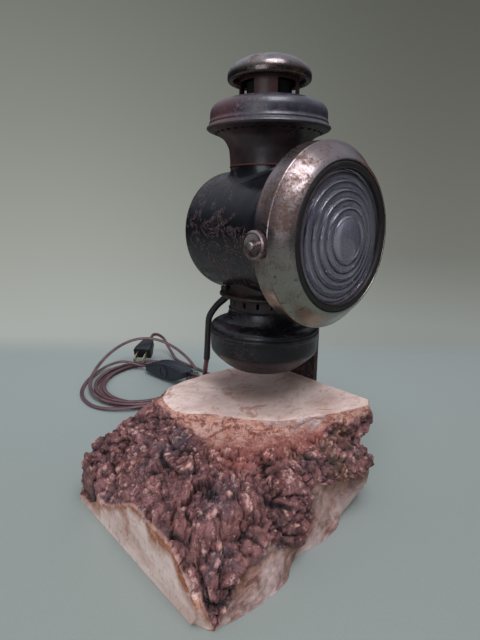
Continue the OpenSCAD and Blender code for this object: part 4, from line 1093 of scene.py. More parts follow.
@dataclass
class Chimney:
    """Neck, slotted hood, vent gallery and nickelled cap."""

    neck_z: float = 254.0
    hood_z: float = 281.0
    gallery_z: float = 302.0
    gallery_top: float = 324.6
    gallery_r: float = 22.6
    wall: float = 1.2
    cap_z: float = 314.2
    cap_top: float = 332.2
    cap_r: float = 31.4
    bead_r: float = 2.4
    slits: int = 36
    slit: Triple = (1.9, 4.2, 12.0)
    slit_r: float = 40.3
    slit_z: float = 277.2
    windows: int = 4
    window: Triple = (12.0, 17.6, 10.4)
    window_z: float = 308.3
    window_turn: float = -7.0
    shade_sleeve_r: float = 17.0
    shade_sleeve_top: float = 313.5

    def neck(self, cuts: Pattern) -> Piece:
        """The flared neck with the ring of slits under the hood, black as painted shade inside and on the slits' cut
        faces.
        """
        z = self.neck_z
        side = flow(up(z, (29.3, 1.15), (29.35, 4), (29.7, 8.6), (30.2, 13), (31.8, 16.9), (34.4, 20.6),
                       (38.6, 23.4), (43.6, 25.4), (46.0, 26.4)), 5)
        line = up(z, (29.2, 0), (29.7, 0.25), (29.75, 0.8), (29.3, 1.15)) + side[1:] + up(
            z, (46.2, 27), (45.0, 27), (43.4, 26.5), (38.0, 24.6), (34.9, 22.9), (34.0, 22.6), (34.0, 30.5),
            (33.0, 30.5), (33.0, 21.2), (30.6, 17.4), (28.9, 13), (28.2, 8), (28.0, 0))
        piece = cut_ring(cuts, turned("chimney_neck", line, BROWN), BROWN, self.slits, self.slit,
                         (self.slit_r, self.slit_z))
        piece.data.materials.append(material(PAINTED_SHADE_BLACK))
        # the inside faces and the slits' cut faces get the black of painted shade
        for face in piece.data.polygons:
            middle = face.center
            r, inside = math.hypot(middle.x, middle.y), middle.z > (z + 22.2) * MM
            cut = middle.z > (z + 21) * MM and abs(face.normal.z) < 0.05 and 0.0392 < r < 0.0414
            if inside and r < 0.0346 or cut:
                face.material_index = 1
        return piece

    def hood(self) -> Piece:
        """The hood: a rolled flange, a short wall and a domed top."""
        z, top, r = self.hood_z, self.gallery_z, self.gallery_r
        roll = flow(up(z, (47.1, 1.6), (45.9, 2.7), (45.3, 3.3), (45.4, 4.4), (45.0, 5.3), (44.6, 6.6), (44.6, 9.5),
                       (44.1, 12.8)) + up(top, (42.6, -5.4), (40.0, -3.4), (36.6, -1.8), (32.4, -0.9), (27.5, -0.45),
                                          (r, 0)), 5)
        line = up(z, (45.2, 0), (46.9, 0), (47.4, 0.7), (47.1, 1.6)) + roll[1:] + up(
            top, (r, -1.2), (32, -2.1), (36, -3.0), (39.4, -4.6), (41.6, -6.4)) + up(
            z, (42.9, 12.4), (43.4, 9), (43.4, 3))
        return turned("chimney_hood", line, HOOD_GREY)

    def gallery(self, cuts: Pattern) -> Piece:
        """The gallery under the cap with its four windows."""
        low, top, r = self.gallery_z - 1.2, self.gallery_top, self.gallery_r
        line = up(low, (r, 0), (r + 0.9, 1.3), (r + 0.9, 1.8), (r, 2.2)) + [
            (r, z) for z in np.linspace(low + 3, top, 6)] + [(r - self.wall, top), (r - self.wall, low)]
        return cut_ring(cuts, turned("vent_gallery_wall", line, RUSTY), RUSTY, self.windows, self.window,
                        (r, self.window_z), math.radians(self.window_turn))

    def cap(self) -> Piece:
        """The low domed cap with its rolled edge."""
        low, bead = self.cap_z + 4.0, self.bead_r
        dome = [(self.cap_r * max(math.cos(a), 0.0) ** 0.86, low + (self.cap_top - low) * math.sin(a) ** 1.05)
                for a in np.linspace(0, math.pi / 2, 49)]
        dome[-1] = (0.0, self.cap_top)
        inner = [(max(r - self.wall, 0), z - 1.1) for r, z in dome[::-1]]
        edge = [(self.cap_r - bead + bead * math.cos(a), self.cap_z + bead + bead * math.sin(a))
                for a in np.radians(range(140, 361, 10))]
        return turned("chimney_cap", dome + inner + edge, CAP_NICKEL)

    def build(self, cuts: Pattern) -> None:
        """Builds the chimney with the tree that cuts rings of slots, and the black sleeve, painted shade, that darkens
        its windows.
        """
        settle(self.neck(cuts), "stand", "brown_steel", "neck")
        settle(self.hood(), "stand", "brown_steel", "hood")
        settle(self.gallery(cuts), "stand", "brown_steel", "vent_gallery")
        settle(self.cap(), "stand", "nickel", "cap")
        # a black sleeve inside the gallery: painted shade behind its windows
        low, high, r = self.gallery_z - 2, self.shade_sleeve_top, self.shade_sleeve_r
        sleeve = [(r, low), (r, high), (r - 0.8, high), (r - 0.8, low)]
        settle(turned("chimney_shade_sleeve", sleeve, PAINTED_SHADE_BLACK), "stand", "brown_steel")
        dress(RUSTY, "draught_tube")


@dataclass
class Fount:
    """The old oil fount: a spun bowl and shoulder under a slotted air ring."""

    low: float = 92.0
    rim_z: float = 123.0
    ring_z: float = 143.5
    ring_top: float = 153.5
    ring_r: float = 29.4
    wall: float = 1.2
    slots: int = 16
    slot: Triple = (6.0, 2.2, 4.5)

    def build(self, cuts: Pattern) -> None:
        """Builds the bowl, the shoulder and the air ring, with the tree that cuts rings of slots."""
        z, rim, top = self.low, self.rim_z, self.ring_z
        side = flow(up(z, (25, 0), (29.3, 1.4), (33.6, 4.3), (38.2, 8.2), (42.3, 12.4), (44.8, 15.8), (45.4, 19),
                       (45.5, 24)) + up(rim, (45.5, -2.6), (45.8, -1.4), (45.8, 0)), 4)
        line = up(z, (0.0, 0), (12.0, 0), (24.0, 0)) + side + [(44.3, rim)] + up(
            z, (44.3, 19.4), (43.0, 16.0), (40, 12.8), (36, 9.0), (31, 5), (27, 2.6), (24, 1.2), (0.0, 1.2))
        settle(turned("fount_bowl_shell", line, BOWL_PAINT), "stand", "black_paint", "fount_bowl")
        roll = flow(up(rim, (45.8, 0), (45.85, 0.9), (45.3, 1.6), (45.0, 2.0), (45.3, 2.4), (45.8, 3.1), (45.5, 4.6),
                       (44.2, 6.6), (41.4, 8.2), (38.4, 9.0), (34.6, 10.2), (32.3, 12.6), (30.7, 16.0))
                    + [(29.9, top - 1.9)], 4)
        line = roll + up(top, (30.4, -1.3), (30.5, -0.6), (29.9, 0), (28.2, 0)) + up(
            rim, (28.2, 15.6), (31.0, 11.4), (33.6, 9), (38.4, 7.8), (41.0, 7.1), (43.2, 5.4), (43.9, 3.4), (43.9, 0))
        settle(turned("fount_shoulder", line, BOWL_PAINT), "stand", "black_paint", "fount_top")
        r, inner, high = self.ring_r, self.ring_r - self.wall, self.ring_top
        profile = up(top, (r, 0), (r, 2.6), (r, 5), (r, 8)) + [(r, high), (inner, high), (inner, top)]
        ring = cut_ring(cuts, turned("air_ring_wall", profile, SOOT), SOOT, self.slots, self.slot, (r, top + 5.2),
                        math.pi / self.slots)
        settle(ring, "stand", "brown_steel", "air_ring")


@dataclass
class Door:
    """The round door: a nickelled band and sloped face, the stepped lens, its packing and the wire ring."""

    band_y: float = 52.0
    band_w: float = 12.0
    lip_y: float = 76.2
    seat_r: float = 51.6
    view_r: float = 46.3
    bull_r: float = 15.6
    rise: float = 9.0
    steps: int = 5
    wire: float = 0.42

    def bezel(self) -> Piece:
        """The band and the sloped face, one spun sheet with a rolled lip round the lens."""
        ridge, lip, low = self.band_y + self.band_w, self.lip_y, self.band_y
        edge = flow(up(ridge, (65.2, -0.9), (65.15, -0.1), (64.7, 0.6), (63.9, 1.2), (61.9, 2.9), (59.4, 5.6),
                       (57.3, 8.0)) + up(lip, (55.2, -2.0), (53.4, -0.6), (52.3, 0), (51.7, -0.25), (51.6, -1.0)), 5)
        line = up(low, (65.2, 0), (65.35, 1), (65.2, 2), (65.2, 6)) + [(65.2, ridge - 0.9)] + edge[1:] + up(
            lip, (51.6, -7.8), (45.4, -7.8), (45.4, -9.0), (52.8, -9.0), (52.8, -3), (54.8, -4)) + up(
            ridge, (57.8, 5), (60.8, 1.8), (63.1, -0.8), (64.0, -1.8)) + [(64.0, low)]
        return turned("door_shell", line, DOOR_NICKEL, Axis.FACE, 224)

    def lens_face(self, r: float) -> float:
        """Reach of the lens at a radius."""
        return self.lip_y - 4.4 + self.rise * (1 - (r / self.view_r) ** 1.6)

    def lens(self) -> Piece:
        """The cast lens: steps with rounded crests that rise to the bull's eye."""
        lip, outer, bull = self.lip_y, self.view_r - 1, self.bull_r
        step = (outer - bull) / self.steps
        line = up(lip, (0.0, -7.5), (20, -7.49), (self.seat_r - 0.3, -7.5), (self.seat_r - 0.3, -3.2),
                  (self.view_r - 0.3, -3.3))
        for r in (outer - i * step for i in range(self.steps)):
            line += flow(up(self.lens_face(r), (r + 0.1, -1.9), (r - 0.05 * step, -0.3), (r - 0.14 * step, 0.35),
                            (r - 0.3 * step, 0.75), (r - 0.7 * step, 0.6), (r - 0.95 * step, -0.1)), 3)
        foot = self.lens_face(bull) - 1.5
        peak = 1.2 + self.lens_face(0) - foot
        line += [(bull * math.cos(a), foot + peak * math.sin(a)) for a in np.linspace(0, math.pi / 2, 24)]
        line[-1] = (0.0, foot + peak)
        glass = Glass("lens_glass", (216, 210, 232), 0.03, 0.88, outer * MM, step * MM, bull * MM)
        return turned("stepped_lens", line, glass, Axis.FACE, 160, 50)

    def build(self) -> None:
        """Builds the door's pieces."""
        lip = self.lip_y
        settle(self.bezel(), "door", "nickel", "door_bezel")
        settle(self.lens(), "door", "lens_glass", "lens")
        packing = up(lip, (46.3, -3.2), (51.3, -3.2)) + flow(
            up(lip, (51.3, -0.9), (50.5, -0.35), (49.2, -0.15), (47.8, -0.4), (46.7, -0.9), (46.3, -1.6)), 3)
        settle(turned("lens_packing", packing, PACKING, Axis.FACE), "door", "black_rubber", "lens_gasket")
        wire = [(46.75 + self.wire * math.cos(a), lip - 0.62 + self.wire * math.sin(a))
                for a in np.linspace(0, 2 * math.pi, 14, endpoint=False)]
        settle(turned("lens_wire", wire, PlainMetal("copper_wire", (88, 70, 68), 0.5), Axis.FACE), "door",
               "nickel", "lens_ring")
        dress(NICKEL, "door_hinge")


@dataclass
class Latch:
    """The knurled knob on its stud at the side of the door."""

    stud_z: float = 201.8
    stud_y: float = -57.5
    near: float = 65.6
    knob_r: float = 9.4
    knob_t: float = 5.4
    knurls: int = 60
    knurl: float = 0.42

    def knob(self, copies: Pattern) -> Piece:
        """The knob: a dished disc whose rim is knurled.

        Args:
            copies: The tree that repeats a shape round an axis.

        Returns:
            The knob.
        """
        r, t, step = self.knob_r, self.knob_t, 2 * math.pi / self.knurls
        profile = [(2.45, 0.0), (6.4, 0.0), (6.4, 1.2), (r - 0.7, 1.2), (r - 0.35, 1.5)] + up(
            t, (r - 0.35, -1.3), (r - 0.7, -0.75), (r - 1.3, -0.35), (r - 2.0, -0.25), (r - 2.6, -0.5), (4.4, -0.62),
            (3.9, -0.7), (3.7, -1.0), (2.45, -1.0))
        points = []
        for a, lift in ((-0.5 * step, 0.0), (-0.18 * step, self.knurl), (0.18 * step, self.knurl), (0.5 * step, 0.0)):
            for radius, out in profile:
                grown = radius + (lift if radius > r - 0.5 else 0.0)
                points.append((-(self.near + out), self.stud_y + grown * math.sin(a),
                               self.stud_z + grown * math.cos(a)))
        piece = build_mesh("latch_knob_disc", np.array(points) * MM, quads(4, len(profile)), KNOB_METAL, tidy=False)
        copies.run(piece, KNOB_METAL, 30, Count=self.knurls, Step=(step, 0, 0),
                   Centre=(-self.near * MM, self.stud_y * MM, self.stud_z * MM))
        mend(piece.data, merge=False, flat=False)
        return piece

    def build(self, copies: Pattern) -> None:
        """Builds the knob and dresses the stud."""
        settle(self.knob(copies), "knob", "nickel", "latch_knob")
        dress(PlainMetal("stud_metal", (190, 178, 178), 0.25), "latch_stud")


def dress_small_parts() -> None:
    """Gives the CAD nodes that stay in sight their finishes."""
    dress(PAINT, "lug", "body_hinge")
    dress(WornPaint("bracket_paint", (40, 30, 32), (100, 62, 56), 0.5, 0.5, 0.2), "bracket_plate")
    dress(PlainMetal("dull_steel", (120, 116, 112), 0.38), "block_screws", "lug_bolts", "hinge_pin", "switch_screws")
    dress(PlainMetal("dull_brass", (190, 158, 100), 0.32), "socket_strap", "socket_rivets", "socket_shell",
          "bulb_base")
    dress(PlainMetal("blade_brass", (206, 196, 160), 0.3), "plug_blades")
    dress(PlainMetal("reflector_metal", (120, 112, 116), 0.3), "reflector")
    dress(Glass("frosted_glass", (240, 238, 230), 0.45, 0.6), "bulb_glass")
    dress(Moulded("phenolic", (44, 36, 32), 0.35), "socket_cap")
    dress(PACKING, "cord_grommet")
    dress(Moulded("inner_lead_skin", (112, 80, 82), 0.4), "inner_lead")
    dress(Moulded("switch_plastic", (28, 31, 43), 0.24), "switch_back", "switch_front")
    dress(Moulded("dial_plastic", (36, 39, 52), 0.22), "switch_dial")
    dress(Moulded("plug_plastic", (22, 22, 27), 0.28), "plug_body")
    dress(Moulded("tie_plastic", (24, 176, 142), 0.25), "cord_tie")


class Knobs:
    """Seeded cell and value noise in three dimensions, for bark that is real relief."""

    def __init__(self, seed: int) -> None:
        """Fixes the pattern by the seed that every cell is drawn from."""
        self.seed = seed

    def draw(self, cell: Array, salt: int) -> Array:
        """Gives each cell three numbers from 0 to 1 that depend on the cell alone.

        Args:
            cell: Whole-number cell places, n by 3.
            salt: Sets one use apart from another.

        Returns:
            The numbers, n by 3.
        """
        c = cell.astype(np.int64)
        mixed = (c[:, 0] * 73856093) ^ (c[:, 1] * 19349663) ^ (c[:, 2] * 83492791) ^ (self.seed * 2654435 + salt)
        v = (mixed[:, None] + np.arange(3) * 40503) & 0xFFFFFFFF
        for _ in range(2):
            v = ((v ^ (v >> 16)) * 0x45D9F3B) & 0xFFFFFFFF
        return ((v ^ (v >> 16)) & 0xFFFFF) / 0xFFFFF

    def cells(self, points: Array, size: float, salt: int = 0) -> tuple[Array, ...]:
        """Measures each point against scattered cell middles.

        Args:
            points: The points, n by 3.
            size: The cells' size.
            salt: Sets one use apart from another.

        Returns:
            The distances to the nearest and second middle in cell sizes, a number drawn for the nearest cell,
            and the height there of a plane that is tilted at random about its middle.
        """
        p = points / size
        first, second = np.full(len(p), 9.0), np.full(len(p), 9.0)
        tag, plane = np.zeros(len(p)), np.zeros(len(p))
        for step in np.ndindex(3, 3, 3):
            cell = np.floor(p) + np.array(step) - 1
            drawn = self.draw(cell, salt)
            arm = p - cell - drawn
            far = np.linalg.norm(arm, axis=1)
            near = far < first
            second = np.where(near, first, np.minimum(second, far))
            tilt = np.einsum("ij,ij->i", arm, self.draw(cell, salt + 500) * 2 - 1)
            tag, plane = np.where(near, drawn[:, 0], tag), np.where(near, tilt, plane)
            first = np.where(near, far, first)
        return first, second, tag, plane

    def soft(self, points: Array, size: float, octaves: int = 3, salt: int = 0) -> Array:
        """Value noise.

        Args:
            points: The points, n by 3.
            size: The size of the largest features.
            octaves: How many finer layers are added.
            salt: Sets one use apart from another.

        Returns:
            The noise, about -1 to 1.
        """
        total, weights = np.zeros(len(points)), [0.55 ** k for k in range(octaves)]
        for k, weight in enumerate(weights):
            p = points / (size * 0.5 ** k) + 17.3 * k
            t = ease(p - np.floor(p))
            value = sum(np.where(step, t, 1 - t).prod(axis=1) * self.draw(np.floor(p) + step, salt + k)[:, 0]
                        for step in np.ndindex(2, 2, 2))
            total += (value * 2 - 1) * weight
        return total / sum(weights)


@dataclass(frozen=True)
class BurlSkin:
    """Burl wood: knobbly bark, sawn faces, torn inner bark and peeled wood, by the masks that the mesh carries."""

    name: str = "burl_wood_skin"

    def make(self) -> Material:
        """Builds the material, one kind of wood after the other."""
        g = Graph(self.name)
        grit, fine = g.noise(620, 3, 0.75), g.noise(300, 6, 0.75, 0.6)
        mid = g.noise(90, 5, 0.7, 0.8, seed=3.0)
        red, rim = g.mask("red"), g.mask("rim")
        moss = g.noise(16, 3, 0.5, 0, seed=12.0).band(0.64, 0.7) * g.noise(420, 4, 0.7, 2.5, (1, 1, 4)).band(0.52, 0.6)
        bark = g.coats(
            (90, 54, 58),
            (mid.band(0.34, 0.64), (160, 106, 105)),
            (g.noise(30, 5, 0.65, 0.6, seed=2.0).band(0.5, 0.66, 0.0, 0.75), (124, 66, 56)),
            (g.noise(40, 4, 0.6, 0.5, seed=9.0).band(0.54, 0.66, 0.0, 0.7), (78, 66, 80)),
            (fine.band(0.48, 0.34, 0.0, 0.8), (42, 24, 28)),
            (red * fine.band(0.3, 0.6), (172, 92, 78)),
            # painted highlight on the tops of the nodules
            (g.mask("high").band(0.42, 0.85) * fine.band(0.4, 0.56) * 0.85, (234, 182, 174)),
            (grit.band(0.58, 0.7, 0.0, 0.7), (230, 190, 180)),
            # painted shade in the bark's cracks and hollows
            (g.mask("cavity_shade") * 0.97, (26, 14, 18)),
            # painted highlight on small raised knots
            (g.mask("knob"), (240, 182, 168)),
            (moss * 0.7, (104, 108, 60)))
        sawn = g.coats(
            (246, 220, 213),
            (g.noise(14, 6, 0.65, 1.5, (1, 1, 3)).band(0.38, 0.66), (218, 184, 175)),
            (g.noise(120, 5, 0.75, 0.8, (1, 2.2, 1)).band(0.52, 0.66, 0.0, 0.6), (168, 116, 104)),
            (g.noise(34, 5, 0.7, 1.2, seed=6.0).band(0.57, 0.66, 0.0, 0.65), (176, 112, 88)),
            # painted shadow of the lamp on the sawn top
            (g.mask("stain"), (120, 84, 78)),
            (rim * g.noise(100, 5, 0.7, 0.5).band(0.25, 0.5),
             g.mix(fine.band(0.4, 0.62), (140, 76, 56), (196, 130, 96))))
        shreds = g.noise(170, 6, 0.8, 0.8, (1, 1, 2.4))
        inner = g.coats(
            (130, 70, 60),
            (shreds.band(0.4, 0.58), (226, 164, 144)),
            (g.noise(80, 5, 0.75, 0.8, (1, 1, 2), 4.0).band(0.48, 0.6, 0.0, 0.75), (226, 184, 174)),
            (g.noise(50, 5, 0.7, 0.8, (1, 1, 2), 8.0).band(0.54, 0.62, 0.0, 0.8), (120, 58, 54)),
            (red * fine.band(0.35, 0.6, 0.5, 0.95), (142, 76, 70)),
            (grit.band(0.58, 0.68, 0.0, 0.7), (240, 204, 192)),
            (g.mask("pale"), g.mix(shreds.band(0.4, 0.56), (236, 222, 222), (168, 132, 128))))
        peeled = g.coats(
            (196, 152, 142),
            (g.noise(70, 6, 0.75, 1.0, (1, 1, 2.2)).band(0.36, 0.62), (124, 84, 76)),
            (g.noise(26, 4, 0.6, 0, seed=7.0).band(0.42, 0.58, 0.0, 0.85), (228, 200, 198)),
            (g.noise(34, 4, 0.65, 0.4, seed=2.5).band(0.58, 0.68, 0.0, 0.5), (140, 84, 58)),
            (fine.band(0.6, 0.74, 0.0, 0.6), (86, 52, 50)),
            # on the peeled wood the rim coat is painted shadow under the bark's overhang
            (rim * fine.band(0.3, 0.6, 0.95, 0.6), g.mix(mid.band(0.4, 0.6), (94, 54, 42), (158, 104, 74))))
        is_sawn = g.mask("sawn")
        relief = g.bump(fine, 0.0015, 0.9, g.bump(grit, 0.0008, 0.9))
        saw = g.bump(g.noise(240, 4, 0.7, 0.4, (1, 4, 1)), 0.00022, 0.6)
        return g.finish(Base_Color=g.coats(bark, (g.mask("inner"), inner), (g.mask("peeled"), peeled), (is_sawn, sawn)),
                        Roughness=is_sawn.band(0, 1, 0.54, 0.6), Specular_IOR_Level=0.5,
                        Normal=g.out("Mix", {0: is_sawn, 4: relief, 5: saw}, 1, data_type="VECTOR"))


def unit(x: Array) -> Array:
    """Keeps numbers between 0 and 1."""
    return np.clip(x, 0, 1)


@dataclass
class BurlBlock:
    """The slab of burl: two sawn faces and the top, bark all over the rest, undercut at the front right.

    STATIONS gives a kind and six points from the top down at each place round it, as in the CAD source. BARK and
    PEEL give where the bark and the peeled wood start, as places round and down. RIM gives the height of the
    bark's brown edge on the left face by Y, BRINK the height up to which that face is flat, and CRACKS the runs of
    the long cracks.
    """

    top_z: float = 70.0
    left_x: float = -150.0
    right_x: float = 46.5
    front_y: float = -112.0
    back_y: float = 61.0
    around: int = 640
    down: tuple[int, ...] = (10, 12, 30, 30, 26)
    rings: int = 16
    seed: int = 11

    STATIONS = (
        ("F", (46.5, -77), (46.5, -81.5, 57), (46.5, -78, 47), (46.5, -68, 38), (46.5, -73, 20), (46.5, -78)),
        ("F", (38, -82), (38, -84, 57), (34, -81, 46.5), (29, -74, 40), (26, -90, 22), (23, -86.5)),
        ("F", (15, -76), (14, -80, 59), (14, -79, 49), (13, -102, 41), (15, -102, 22), (12, -92)),
        ("F", (0, -70.5), (0, -74, 63), (0, -80, 53), (0, -106, 39), (0, -104, 21), (-6, -96)),
        ("F", (-13, -65), (-13, -70, 63), (-15, -80, 55), (-19, -100, 43), (-17, -97, 24), (-27, -103)),
        ("F", (-31, -56), (-32, -62, 63), (-35, -74, 56), (-42, -91, 46), (-43, -98, 28), (-47, -104.5)),
        ("F", (-42, -46.5), (-44, -54, 63.5), (-49, -66, 57), (-58, -90, 45), (-59, -101, 22), (-71, -102.5)),
        ("F", (-50, -38), (-54, -46, 64), (-62, -60, 57), (-78, -84, 47), (-86, -104, 24), (-90, -112)),
        ("F", (-55, -31), (-61, -40, 64), (-74, -55, 58), (-98, -80, 47), (-116, -105, 23), (-116, -112)),
        ("F", (-60, -23), (-68, -32, 64), (-84, -47, 58), (-114, -74, 46), (-140, -105, 20), (-141, -108)),
        ("L", (-63, -17), (-72, -25, 64), (-88, -37, 58), (-118, -61, 48), (-150, -98, 18), (-148.5, -95)),
        ("L", (-66, -12), (-76, -18, 64.5), (-92, -28, 59), (-119, -46, 51), (-149.6, -78, 37), (-149.7, -78)),
        ("L", (-71, -6), (-80, -11, 65), (-95, -17, 60), (-120, -30, 53), (-149.7, -52, 40), (-150, -52)),
        ("L", (-76, -2), (-85, -4, 65), (-98, -8, 59), (-121, -14, 51), (-149.4, -33, 41), (-149.6, -33)),
        ("L", (-81, 3), (-89, 3, 64), (-101, 3, 57), (-121, 0, 47), (-149.6, -5, 24), (-149.8, -5)),
        ("L", (-85, 13), (-92, 15, 64), (-103, 17, 57), (-121, 18, 45), (-149.7, 14, 18), (-149.9, 14)),
        ("L", (-83, 27), (-91, 30, 65), (-103, 33, 59), (-119, 36, 49), (-149.5, 36, 36), (-149.4, 38)),
        ("F", (-77, 41), (-84, 43, 65), (-95, 46, 59), (-114, 49, 52), (-142, 50, 36), (-147, 52)),
        ("F", (-61, 54), (-63, 55, 63), (-68, 56, 56), (-80, 57, 42), (-97, 57, 22), (-113, 57)),
        ("F", (-40, 57), (-40, 57.3, 63), (-40, 57.5, 56), (-41, 58, 40), (-43, 58, 20), (-46, 58)),
        ("F", (-12, 56.5), (-12, 56.7, 63), (-12, 57, 56), (-11, 57.5, 40), (-10, 57.5, 20), (-10, 57)),
        ("F", (20, 52), (20, 52.4, 63), (20, 53, 56), (21, 54.5, 40), (21, 55.5, 20), (21, 55.5)),
        ("F", (46.5, 52), (46.5, 52.4, 62), (46.5, 53, 54), (46.5, 54, 40), (46.5, 55.5, 20), (46.5, 55.5)),
    )
    BARK = ((0, 3, 4, 5, 7, 8, 9, 10, 11, 12, 13, 14, 15, 23),
            (0.5, 0.9, 1.3, 1.6, 1.8, 1.8, 1.75, 1.7, 1.55, 1.35, 1.05, 0.65, 0.35, 0.3))
    PEEL = ((0, 1, 2, 3, 4, 5, 5.5, 6, 7, 8, 8.5, 9, 9.6),
            (3.2, 3.3, 3.3, 3.15, 3.3, 3.35, 3.9, 4.5, 4.05, 3.85, 4.15, 4.7, 5.1))
    RIM = ((-107, -96, -85, -78, -56, -49, -33, 5, 23, 40), (14, 19, 24, 38, 33, 41, 41, 20, 12, 5))
    BRINK = ((0, 14, 22, 30, 38, 52), (60, 30, 14, 8, 5, 3))
    CRACKS = (((-137, 0, 46), (-118, -38, 52), (-98, -58, 50), (-78, -74, 48), (-56, -80, 48), (-34, -80, 49)),
              ((-78, -74, 48), (-84, -88, 42), (-70, -96, 34)), ((-120, -30, 54), (-112, -8, 54)),
              ((-34, -80, 49), (-22, -92, 46), (-16, -98, 38)))

    @staticmethod
    def closed_flow(points: Array, count: int, sharp: Array) -> Array:
        """Draws a smooth closed line through station points, with corners where asked.

        Args:
            points: The stations' points, n by 3.
            count: Points on the line.
            sharp: Which stations are corners.

        Returns:
            The line's points.
        """
        n = len(points)
        step_in, step_out = points - np.roll(points, 1, axis=0), np.roll(points, -1, axis=0) - points
        short = np.minimum(np.linalg.norm(step_in, axis=1), np.linalg.norm(step_out, axis=1))[:, None]
        pull = step_in + step_out
        pull *= 0.85 * short / np.maximum(np.linalg.norm(pull, axis=1, keepdims=True), 1e-6)
        at = np.linspace(0, n, count, endpoint=False)
        i = np.floor(at).astype(int)
        t, j = (at - i)[:, None], (i + 1) % n
        m0 = np.where(sharp[i][:, None], step_out[i], pull[i])
        m1 = np.where(sharp[j][:, None], step_in[j], pull[j])
        return ((2 * t ** 3 - 3 * t ** 2 + 1) * points[i] + (t ** 3 - 2 * t ** 2 + t) * m0
                + (-2 * t ** 3 + 3 * t ** 2) * points[j] + (t ** 3 - t ** 2) * m1)

    def shell(self) -> tuple[Array, Array]:
        """Draws the smooth side of the block.

        Returns:
            Its points as rows down by columns around, and how far down each row lies, from 0 to 5.
        """
        given = np.array([[(*s[1], self.top_z), *s[2:6], (*s[6], 0.0)] for s in self.STATIONS], float)
        left = np.array([s[0] == "L" for s in self.STATIONS])
        n = len(left)
        ends, corners = np.isin(np.arange(n), (0, n - 1)), np.isin(
            np.arange(n), (0, n - 1, left.argmax(), n - 1 - left[::-1].argmax()))
        lines = np.stack([self.closed_flow(given[:, k], self.around, corners if k >= 4 else ends) for k in range(6)])
        i = np.floor(np.linspace(0, n, self.around, endpoint=False)).astype(int)
        flat = (left[i] & left[(i + 1) % n])[:, None]
        out, depth = [], []
        for k, steps in enumerate(self.down):
            a, b, c, d = lines[max(k - 1, 0)], lines[k], lines[k + 1], lines[min(k + 2, 5)]
            d = np.where(flat & (k == 3), 2 * c - b, d)
            a = np.where(flat & (k == 4), 2 * b - c, a)
            for t in np.arange(steps) / steps:
                out.append(0.5 * spline(a, b, c, d, t) + 0.5 * (b + (c - b) * t))
                depth.append(k + t)
        return np.array(out + [lines[5]]), np.array(depth + [5.0])

    def line_depth(self, p: Array) -> Array:
        """Marks how deep in a long crack each point lies, from 0 to 1."""
        best = np.full(len(p), 99.0)
        for run in self.CRACKS:
            for a, b in zip(np.array(run[:-1], float), np.array(run[1:], float)):
                t = unit(((p - a) @ (b - a)) / float((b - a) @ (b - a)))
                best = np.minimum(best, np.linalg.norm(p - a - t[:, None] * (b - a), axis=1))
        return unit(1 - best / 2.8)

    def left_rim(self, p: Array, noise: Knobs) -> Array:
        """Marks the ragged brown rim along the bark on the sawn left face."""
        reach = 8 + 11 * noise.soft(p * (1, 1, 0.25), 6, 3, 61)
        return unit(1 - (np.interp(p[:, 1], *self.RIM) - p[:, 2]) / np.maximum(reach, 0.5))

    def relief(self, p: Array, normal: Array, u: Array, v: Array, noise: Knobs
               ) -> tuple[Array, dict[str, Array]]:
        """Gives the smooth side its nodules, cracks and torn edges.

        Args:
            p: The side's points.
            normal: Their normals.
            u: How far round each lies, in stations.
            v: How far down each lies, from 0 to 5.
            noise: The block's noise.

        Returns:
            The moved points, and the masks that the skin reads.
        """
        soft = noise.soft
        warp = np.stack([soft(p, 18, 4, 40 + k) for k in range(3)], axis=1)
        wave, rough, swell = soft(p * (1, 1, 0.7), 16, 3, 30), soft(p, 8, 4, 9), soft(p, 34, 2, 21)
        big1, big2, tag, big_tilt = noise.cells(p + 9.0 * warp, 15.0, 1)
        mid1, mid2, tag2, mid_tilt = noise.cells(p + 6.0 * warp, 6.5, 2)
        small1, _, tag3, small_tilt = noise.cells(p + 3.0 * warp, 3.0, 3)
        crack = unit(1 - (big2 - big1) / 0.1) ** 1.5 * unit(0.5 + 1.2 * wave)
        cracklet = unit(1 - (mid2 - mid1) / 0.14) ** 1.5 * np.clip(0.45 - 1.4 * wave, 0.15, 1)
        deep = self.line_depth(p + 2.5 * warp)
        start, edge = np.interp(u, *self.BARK), np.interp(u, *self.PEEL)
        bark = unit((v - start - 0.35 * wave - 0.2 * soft(p, 6, 3, 95)) / 0.25)
        torn = 1 - bark
        peel = ((u > 0.3) & (u < 9.6)) * unit((v - edge - 0.35 * soft(p, 16, 3, 33)) / 0.1)
        right_wall = p[:, 0] > self.right_x - 0.05
        past = u - 9.05 - 0.6 * (5 - v)
        wrap = unit((past + 0.1 * soft(p, 6, 3, 96)) / 0.08) * (u < 10.05) * (v > 3.9)
        plane = (p[:, 0] < self.left_x + 1.7) & (v > 3.9)
        face = plane & (p[:, 2] < np.interp(p[:, 1], *self.BRINK) + 3 * soft(p, 7, 3, 90))
